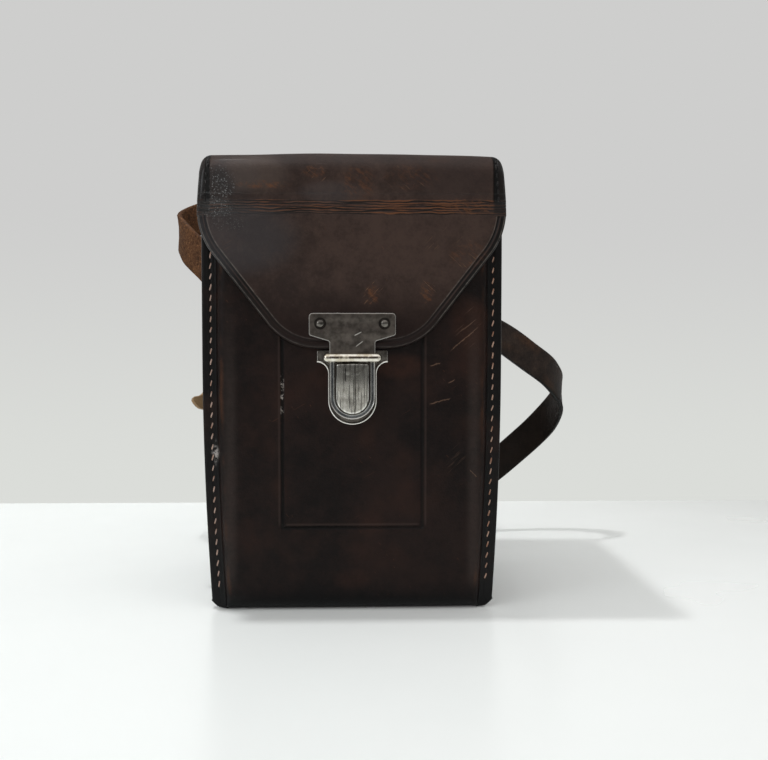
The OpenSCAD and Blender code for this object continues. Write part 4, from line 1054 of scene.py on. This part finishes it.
fold_rub = band * (brow * 1.2 + 0.22) * rub_share - dip * 0.9 + ripple(fold_rows, 11.0, 0.5, 91) * band
# painted shade: the wrinkle dips carry the edge mark, which makes them near black
fold_paint = {"wear": held(fold_rub), "edge": held(1.25 * dip * band)}
fold = closed_sheet("fold_leather", fold_rows, LID_T, lid_leather, fold_paint, edge_reach=0.01,
                    joined=("foot", "top"))
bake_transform(fold)

FLAP_FOOT = 99.6
CORNER, CORNER_R = (13.0, FLAP_FOOT + 24.0), 24.0
SHOULDER, SHOULDER_R = (30.3, 151.5), 27.5
slant = (CORNER[0] - SHOULDER[0], CORNER[1] - SHOULDER[1])
FLAP_TURN = math.atan2(slant[1], slant[0]) + math.acos((SHOULDER_R - CORNER_R) / math.hypot(*slant))
FLAP_LEVELS = [(0.0, 1.15), (0.07, 0.75), (0.28, 0.35), (0.65, 0.10), (1.15, 0.0), (1.75, 0.0), (2.25, 0.03),
               (2.50, 0.22), (2.75, 0.46), (3.05, 0.46), (3.28, 0.20), (3.5, 0.0), (4.1, -0.06), (5.0, -0.03),
               (7.0, 0.0), (10.0, 0.0), (13.0, 0.0), (16.0, 0.0), (18.8, 0.0)]
FOOT_SHARE = 8


def flap_edge(inset):
    """The flap's right-hand edge, so far in, from the middle of its foot up to the fold."""
    found = [(CORNER[0] * k / FOOT_SHARE, FLAP_FOOT + inset) for k in range(FOOT_SHARE)]
    found += round_arc(*CORNER, CORNER_R - inset, -QUARTER, FLAP_TURN, 18)
    fold_turn = -math.asin((SHOULDER[1] - FOLD_FOOT) / (SHOULDER_R - inset))
    up = round_arc(*SHOULDER, SHOULDER_R - inset, FLAP_TURN, fold_turn, 20)
    low, high = np.array(found[-1]), np.array(up[0])
    return np.array(found + [low + (high - low) * t for t in np.linspace(0, 1, 16)[1:-1]] + up)


def flap_side(sign, levels, depth):
    """Rings from the edge inwards, then rows across the middle, of one side of the flap."""
    rings = []
    for inset, drop in levels:
        right = flap_edge(inset)
        ring = np.concatenate([right[::-1] * np.array([-1, 1]), right[1:]])
        rings.append(np.stack([ring[:, 0], np.full(len(ring), depth + sign * drop), ring[:, 1]], axis=1))
    inner = flap_edge(levels[-1][0])[FOOT_SHARE:]
    middle = [[(x * t, depth, z) for t in np.linspace(-1, 1, 2 * FOOT_SHARE + 1)] for x, z in inner[1:]]
    return np.array(rings), np.array(middle)


def flap_faces(rings, middle, start, flip):
    """Faces over the rings and the middle, and the numbers of the points along the upper cut."""
    count, width = rings.shape[1], middle.shape[1]
    number = start + np.arange(len(rings) * count).reshape(len(rings), count)
    last, half = number[-1], (count - 1) // 2
    side = half - FOOT_SHARE
    rows = [last[side:side + width]]
    for r in range(len(middle)):
        row = start + number.size + r * width + np.arange(width)
        row[0], row[-1] = last[side - 1 - r], last[half + FOOT_SHARE + 1 + r]
        rows.append(row)
    faces = between(number, number[1:]) + between(rows, rows[1:])
    cut = [*number[:, 0], *rows[-1][1:-1], *number[::-1, -1]]
    return [f[::-1] for f in faces] if flip else faces, cut


outer_rings, outer_middle = flap_side(1, FLAP_LEVELS, LID_FRONT)
inner_rings, inner_middle = flap_side(-1, FLAP_LEVELS[1:5] + [(18.8, 0.0)], LID_FRONT + LID_T)
outer_points = np.concatenate([outer_rings.reshape(-1, 3), outer_middle.reshape(-1, 3)])
inner_points = np.concatenate([inner_rings.reshape(-1, 3), inner_middle.reshape(-1, 3)])
faces, cut = flap_faces(outer_rings, outer_middle, 0, False)
under_faces, under_cut = flap_faces(inner_rings, inner_middle, len(outer_points), True)
faces += under_faces
ring_size = outer_rings.shape[1]
faces += [(len(outer_points) + i, len(outer_points) + i + 1, i + 1, i) for i in range(ring_size - 1)]
# along the upper cut the outer and inner rows have different numbers of points, so one face closes it
faces.append(tuple(cut[::-1] + under_cut))
flap_points = np.concatenate([outer_points, inner_points])
level = outer_points[:, 2]
calm = held((level - FLAP_FOOT) / 12) * held((FOLD_FOOT - level) / 6)
flap_points[:len(outer_points), 1] += (ripple(outer_points, 22.0, 0.22, 93) - 0.05) * calm
middle_size = len(outer_points) - len(FLAP_LEVELS) * ring_size
inset_of = np.concatenate([np.repeat([i for i, _ in FLAP_LEVELS], ring_size), np.full(middle_size, 19.0)])
drop_of = np.concatenate([np.repeat([d for _, d in FLAP_LEVELS], ring_size), np.zeros(middle_size)])
dyed = np.where(inset_of < 2.2, 1.0, held(drop_of / 0.3) * 0.95)
rubbed = held(ripple(outer_points, 14.0, 0.7, 95) - 0.05) * (inset_of > 3.3) * 0.6
# the edge lines are burnished and carry a painted highlight
burnish_and_highlight_rings = np.isin(inset_of, (0.65, 3.5)).astype(float)
flap_paint = {mark: np.concatenate([values, np.full(len(inner_points), inside)])
              for mark, values, inside in (("edge", dyed, 0), ("wear", rubbed, 0), ("burnish_and_highlight", burnish_and_highlight_rings, 0),
                                           ("flesh", np.zeros(len(outer_points)), 1))}
flap = add_piece("flap", flap_points, faces, lid_leather, flap_paint)
finish_piece(flap, "flap", "lid_leather", "flap_leaf")


# The catch plate: nickel-plated sheet riveted to the front, with two ears beside the hasp's neck and a rim
# turned up round its lower edge, in which the hasp's tongue lies. The stud in its middle holds the tongue.
CATCH_Y = 54.0
CATCH_FOOT, CATCH_HALF = 70.9, 9.2
EAR_X, EAR_Z, EAR_R, EAR_TIP_R = 13.3, 99.0, 4.1, 0.5
EAR_FOOT, STUD_Z = EAR_Z - 4.6 - EAR_R, 81.4
RIM_H, RIM_W = 1.1, 0.8
plate_nickel = worn_metal("plate_nickel", (104, 99, 93), (66, 62, 58), 0.30)


def rivet_hole(x, z):
    """The outline of a hole that a rivet goes through."""
    return round_arc(x, z, 0.95, 0, math.radians(345), 24)


def mirrored(right):
    """A closed outline from its right-hand edge, given from the bottom up."""
    return list(right) + [(-x, z) for x, z in reversed(right)]


def pressed_sheet(name, outlines, front_y, back_y, soft, material):
    """Sheet metal cut to outlines in X and Z, holes among them, with softened edges."""
    shape = bpy.data.curves.new(name, "CURVE")
    shape.dimensions, shape.fill_mode = "2D", "BOTH"
    for outline in outlines:
        spline = shape.splines.new("POLY")
        spline.points.add(len(outline) - 1)
        for point, (x, z) in zip(spline.points, outline):
            point.co = (x, z, 0.0, 1.0)
        spline.use_cyclic_u = True
    shape.extrude = abs(back_y - front_y) / 2 - soft
    shape.bevel_depth, shape.bevel_resolution, shape.offset = soft, 2, -soft
    cut = bpy.data.objects.new(name + "_cut", shape)
    scene.collection.objects.link(cut)
    bpy.context.view_layer.update()
    mesh = bpy.data.meshes.new_from_object(cut.evaluated_get(bpy.context.evaluated_depsgraph_get()))
    points = np.array([v.co for v in mesh.vertices])
    faces = [tuple(p.vertices) for p in mesh.polygons]
    bpy.data.objects.remove(cut)
    bpy.data.curves.remove(shape)
    bpy.data.meshes.remove(mesh)
    merged, where, numbers = [], {}, []
    for p in points:
        key = tuple(np.round(p, 3))
        if key not in where:
            where[key] = len(merged)
            merged.append((p[0], (front_y + back_y) / 2 - p[2], p[1]))
        numbers.append(where[key])
    faces = [tuple(dict.fromkeys(numbers[i] for i in f)) for f in faces]
    # painted highlight: the edge mark lies on the bevel just behind the front face
    behind = np.array([y for _, y, _ in merged]) - front_y
    edge = held(behind / (0.4 * soft)) * held((3 * soft - behind) / soft)
    return add_piece(name, merged, [f for f in faces if len(f) > 2], material, {"edge": edge}, sharp=32)


def swept_rail(name, path, section, base_y, material, edge):
    """A bar drawn along a path in X and Z. A section's points are (outwards across the path, height from
    base_y), and each has its share of the edge mark, which smooths the metal and paints a highlight."""
    path = np.array(path, float)
    way = unit(np.gradient(path, axis=0))
    outward = np.stack([way[:, 1], -way[:, 0]], axis=1)
    points = [(p[0] + o[0] * a, base_y - h, p[1] + o[1] * a)
              for p, o in zip(path, outward) for a, h in section]
    return add_piece(name, points, tube_faces(len(path), len(section), turned=True), material,
                     {"edge": np.tile(edge, len(path))}, sharp=50)


catch_right = round_arc(0, CATCH_FOOT + CATCH_HALF, CATCH_HALF, -QUARTER, 0, 16)
catch_right += round_arc(EAR_X, EAR_FOOT, EAR_R, 2 * QUARTER, QUARTER, 10)
catch_right += [(EAR_X, EAR_Z - EAR_TIP_R)]
catch_right += round_arc(EAR_X - EAR_TIP_R, EAR_Z - EAR_TIP_R, EAR_TIP_R, 0, QUARTER, 4)[1:]
holes = [rivet_hole(0, z) for z in (92.6, 76.0, STUD_Z)]
catch = pressed_sheet("eared_plate", [mirrored(catch_right[1:])] + holes, -CATCH_Y, -FRONT_Y, 0.28,
                      plate_nickel)
finish_piece(catch, "case", "nickel", "catch_plate")
rim_line = [(x, z) for x, z in catch_right if z < EAR_Z - 0.9]
rim_line = [(-x, z) for x, z in reversed(rim_line)] + rim_line[1:]
rim_section = [(-RIM_W, 0.0), (-RIM_W, RIM_H * 0.7), (-RIM_W * 0.72, RIM_H * 0.95), (-RIM_W * 0.4, RIM_H),
               (-0.1, RIM_H * 0.86), (0.0, RIM_H * 0.55), (0.0, 0.0)]
rim_nickel = worn_metal("rim_nickel", (208, 204, 194), (150, 144, 134), 0.20)
# painted highlight along the rim's rolled crest
rim = swept_rail("turned_rim", rim_line, rim_section, -CATCH_Y + 0.05, rim_nickel,
                 (0, 0.3, 0.8, 1, 1, 0.6, 0))
finish_piece(rim, "case", "nickel")
dress_node("catch_rivets", rivet_nickel)
dress_node("catch_stud", rivet_nickel)


# The hasp: a nickel-plated plate riveted to the flap, with a half-round bar across its neck and a raised
# frame round the button. A thin cover closes the spring behind it.
HASP_FRONT, HASP_BACK = -57.1, -55.9
HASP_TOP, HASP_HALF = 113.0, 16.3
TONGUE_FOOT, TONGUE_HALF = 73.1, 8.6
BAR_Z, BAR_R, BAR_HALF = 96.2, 1.8, 11.0
RIVET_X, RIVET_Z = 12.0, 109.0


def hasp_marks(metal, mm, tone, dullness, height):
    """A dark ring round each rivet and two bright scratches."""
    x, _, z = metal.apart(mm)
    far = ((abs(x) - RIVET_X) ** 2.0 + (z - RIVET_Z) * (z - RIVET_Z)) ** 0.5
    tone = metal.mix(metal.ease(abs(far - 1.9), 0.55, 0.1) * 0.85, tone, paint(24, 21, 20))
    for at_x, at_z, slope in ((2.1, 105.2, 0.5), (2.6, 101.4, 0.75)):
        bent = abs((z - at_z) - (x - at_x) * slope)
        bright = metal.ease(bent, 0.28, 0.05) * metal.ease(abs(x - at_x), 1.5, 0.9)
        tone = metal.lay(tone, (bright * 0.8, (226, 222, 214)))
    return tone, dullness, height


hasp_nickel = worn_metal("hasp_nickel", (102, 95, 89), (70, 65, 61), 0.36, (72, 56, 44), hasp_marks)
frame_nickel = worn_metal("frame_nickel", (104, 106, 107), (64, 66, 68), 0.24, (58, 54, 50))


def bar_marks(metal, mm, tone, dullness, height):
    """Brown along the middle of the bar."""
    x, _, z = metal.apart(mm)
    middle_brown = metal.ease(abs(z - BAR_Z - 0.15), 0.66, 0.2) * metal.ease(metal.cloud(mm, 0.4, 3.0), 0.34, 0.50)
    middle_brown = middle_brown * metal.ease(abs(x), BAR_HALF - 0.9, BAR_HALF - 2.0)
    return metal.mix(middle_brown * 0.92, tone, paint(66, 48, 33)), dullness + middle_brown * 0.15, height


bar_nickel = worn_metal("bar_nickel", (236, 232, 222), (196, 186, 166), 0.08, (104, 78, 52), bar_marks)
NECK_TOP, NECK_R, HEAD_FOOT_R, HEAD_TOP_R = 101.7, 0.8, 1.2, 1.5
hasp_right = round_arc(0, TONGUE_FOOT + TONGUE_HALF, TONGUE_HALF, -QUARTER, 0, 18)[1:]
hasp_right += [(TONGUE_HALF, 91.0), (TONGUE_HALF, NECK_TOP)]
hasp_right += round_arc(TONGUE_HALF + NECK_R, NECK_TOP, NECK_R, 2 * QUARTER, math.radians(112), 4)[1:]
hasp_right += round_arc(HASP_HALF - HEAD_FOOT_R, HASP_TOP - 7.5, HEAD_FOOT_R, math.radians(-70), 0, 6)
hasp_right += round_arc(HASP_HALF - HEAD_TOP_R, HASP_TOP - HEAD_TOP_R, HEAD_TOP_R, 0, QUARTER, 8)
WINDOW_HALF, WINDOW_FOOT, WINDOW_TOP = 7.15, 81.5, 94.7
window_right = round_arc(0, WINDOW_FOOT, WINDOW_HALF, -QUARTER, 0, 14)[1:] + [(WINDOW_HALF, WINDOW_TOP)]
rivet_holes = [rivet_hole(side * RIVET_X, RIVET_Z) for side in (-1, 1)]
hasp = pressed_sheet("hasp_front", [mirrored(hasp_right), mirrored(window_right)] + rivet_holes,
                     HASP_FRONT, HASP_BACK, 0.42, hasp_nickel)
finish_piece(hasp, "flap", "nickel", "hasp_plate")
FRAME_IN, FRAME_OUT, FRAME_H, STRAIGHT_FOOT = 6.6, 8.55, 1.7, 82.8
frame_mid, frame_half = (FRAME_IN + FRAME_OUT) / 2, (FRAME_OUT - FRAME_IN) / 2
frame_right = round_arc(0, TONGUE_FOOT + TONGUE_HALF, frame_mid, -QUARTER, 0, 18)
frame_right += [(frame_mid, z) for z in np.linspace(STRAIGHT_FOOT, BAR_Z, 12)]
frame_line = [(-x, z) for x, z in reversed(frame_right)] + frame_right[1:]
frame_section = [(s * frame_half, FRAME_H * h) for s, h in (
    (-1, 0.0), (-1, 0.72), (-0.9, 0.90), (-0.7, 0.97), (-0.35, 0.90), (0.1, 0.84), (0.55, 0.94), (0.8, 1.0),
    (0.95, 0.9), (1.0, 0.7), (1.0, 0.0))]
# painted highlight along the frame's crests
rail = swept_rail("button_frame", frame_line, frame_section, HASP_FRONT, frame_nickel,
                  (0, 0.2, 0.6, 0.4, 0, 0, 0.4, 1, 1, 0.6, 0))
finish_piece(rail, "flap", "nickel", "hasp_frame")
BAR_OUT, AROUND = 1.3, 24
round_turns = [2 * math.pi * k / AROUND for k in range(AROUND)]
bar_rings = [(-BAR_HALF + BAR_R * (1 - math.cos(a)), BAR_R * math.sin(a))
             for a in np.linspace(0.12, QUARTER, 8)]
bar_rings += [(-x, r) for x, r in reversed(bar_rings)]
bar_points = [(x, min(HASP_FRONT - BAR_OUT + r * math.cos(a), HASP_FRONT), BAR_Z + r * math.sin(a))
              for x, r in bar_rings for a in round_turns]
bar = add_piece("cross_bar", bar_points, tube_faces(len(bar_rings), AROUND), bar_nickel, sharp=55)
finish_piece(bar, "flap", "nickel")
spring_steel = worn_metal("spring_steel", (150, 150, 150), (104, 102, 100), 0.30, (96, 66, 44))
rivet_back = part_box("hasp_rivets")[1][1] * 1000
DOME = ((0.9, 0.01), (1.5, 0.02), (1.52, 0.22), (1.38, 0.5), (1.05, 0.74), (0.6, 0.88), (0.2, 0.92))
rivet_profile = [(0.9, rivet_back)] + [(r, HASP_FRONT - out) for r, out in DOME]
rivet_points, rivet_faces = [], []
for side in (-1, 1):
    rivet_faces += tube_faces(len(rivet_profile), AROUND, first=len(rivet_points))
    rivet_points += [(side * RIVET_X + r * math.cos(a), y, RIVET_Z + r * math.sin(a))
                     for r, y in rivet_profile for a in round_turns]
dome_nickel = worn_metal("dome_nickel", (122, 118, 112), (58, 55, 52), 0.15)
hasp_rivets = add_piece("rivet_domes", rivet_points, rivet_faces, dome_nickel, sharp=60)
finish_piece(hasp_rivets, "flap", "nickel", "hasp_rivets")
dress_node("hasp_cover", hasp_nickel)
dress_node("latch_spring", spring_steel)


# The press button: a drawn cap of plated brass with a flat, softly crowned face, brushed up and down by years
# of thumbs, sliding in the frame against its spring.
BUTTON_HALF, BUTTON_FOOT, BUTTON_TOP, BUTTON_R = 6.2, 75.3, 94.0, 0.9


def thumb_marks(metal, mm, tone, dullness, height):
    """Brushed up and down, with painted shade over the top, three dark lines and one deep scratch."""
    x, _, z = metal.apart(mm)
    lines = metal.cloud(metal.drawn(mm, (0, 0, 0), (1.3, 1.3, 0.05)), 1.0, 4.0, 0.75)
    # the last coat of this mix is painted shade darkening the top of the face
    tone = metal.lay(tone, (metal.ease(lines, 0.40, 0.30) * 0.8, (246, 245, 240)),
                     (metal.ease(lines, 0.49, 0.60) * 0.85, (62, 59, 55)),
                     (metal.ease(z, BUTTON_TOP - 11, BUTTON_TOP - 4) * 0.72, (80, 78, 75)))
    for at_x, foot_z, head_z in ((-1.1, 76.6, 88.0), (0.5, 78.0, 90.5), (1.2, 76.6, 86.5)):
        long = metal.ease(z, foot_z, foot_z + 1.5) * metal.ease(z, head_z, head_z - 3.0)
        tone = metal.lay(tone, (metal.ease(abs(x - at_x), 0.3, 0.06) * long * 0.7, (44, 42, 39)))
    cut = metal.ease(abs(x + 2.6), 0.35, 0.1) * metal.ease(abs(z - BUTTON_TOP + 4), 2.8, 2.0)
    tone = metal.lay(tone, (cut * 0.85, (22, 20, 18)))
    return tone, dullness + (lines - 0.5) * 0.3, height + lines * 2.0


button_nickel = worn_metal("button_nickel", (220, 217, 208), (178, 174, 164), 0.25, (110, 100, 88),
                           thumb_marks)


def button_edge(inset):
    """The right-hand edge of the button, so far in, from the foot up."""
    side_x, corner, nearly = BUTTON_HALF - inset, max(BUTTON_R - inset, 0.05), math.radians(88)
    corner_z = BUTTON_TOP - inset - corner
    low = round_arc(0, BUTTON_FOOT + BUTTON_HALF, side_x, -nearly, 0, 16)
    straight = [(side_x, z) for z in np.linspace(STRAIGHT_FOOT, corner_z - 0.2, 12)]
    top = round_arc(side_x - corner, corner_z, corner, 0, nearly, 5) + [(side_x * 0.03, BUTTON_TOP - inset)]
    return low + straight + top


BUTTON_RISE, BUTTON_ROUND, BUTTON_WALL = 2.82, 18.0, 0.8


def button_face(x):
    """Height of the rounded face over the hasp."""
    return BUTTON_RISE - BUTTON_ROUND + math.sqrt(BUTTON_ROUND ** 2 - x ** 2)


# rings from the middle of the hollow underside, down its wall, round the foot and up to the middle of the
# face, each so far in, so far below the face (None is the foot) and with its share of the edge mark, which
# smooths the rim and paints a highlight on it
button_levels = [(4.2, BUTTON_WALL, 0), (2.6, BUTTON_WALL, 0), (BUTTON_WALL, BUTTON_WALL, 0),
                 (BUTTON_WALL, None, 0), (0, None, 0), (0, 0.42, 0), (0.06, 0.25, 0.5), (0.2, 0.1, 1),
                 (0.45, 0.02, 0.6), (0.85, 0, 0), (1.5, 0, 0), (2.6, 0, 0), (4.2, 0, 0)]
button_points = []
for inset, below, _ in button_levels:
    button_points += [(x, HASP_FRONT - (0 if below is None else button_face(x) - below), z)
                      for x, z in mirrored(button_edge(inset))]
ring = len(mirrored(button_edge(0)))
*button_faces, hollow, face = tube_faces(len(button_levels), ring)
# face and hollow are closed by strips from side to side, so that they stay evenly curved
for k in range(ring // 2 - 1):
    button_faces.append((face[k], face[k + 1], face[ring - 2 - k], face[ring - 1 - k]))
    button_faces.append((hollow[k], hollow[k + 1], hollow[ring - 2 - k], hollow[ring - 1 - k]))
button_rim_polish_and_highlight = np.repeat([polish_and_highlight for _, _, polish_and_highlight in button_levels], ring)
button = add_piece("thumb_button", button_points, button_faces, button_nickel, {"edge": button_rim_polish_and_highlight},
                   sharp=60)
finish_piece(button, "button", "nickel", "press_button")


# The button's bow spring: a strip of sprung steel, arched between the hasp's cover and the button's hollow.
# Its ends are free to slide, so the real one flattens as the button goes in; here it keeps its resting arch.
STRIP_T, PRESSED_SHARE = 0.35, 0.62
bow_low, bow_high = (np.array(corner) * 1000 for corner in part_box("button_spring"))
bow_half, bow_rise = (bow_high[0] - bow_low[0]) / 2, bow_high[1] - bow_low[1]
bow_round = (bow_half ** 2 + bow_rise ** 2) / (2 * bow_rise)
bow_rows = [[(x, bow_low[1] + bow_round - math.sqrt(bow_round ** 2 - x ** 2), z)
             for x in np.linspace(-bow_half, bow_half, 25)] for z in np.linspace(bow_low[2], bow_high[2], 9)]
bow = closed_sheet("bow_spring", bow_rows, STRIP_T, spring_steel, edge_reach=0.3)
finish_piece(bow, "flap", "steel", "button_spring")
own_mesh(bow)
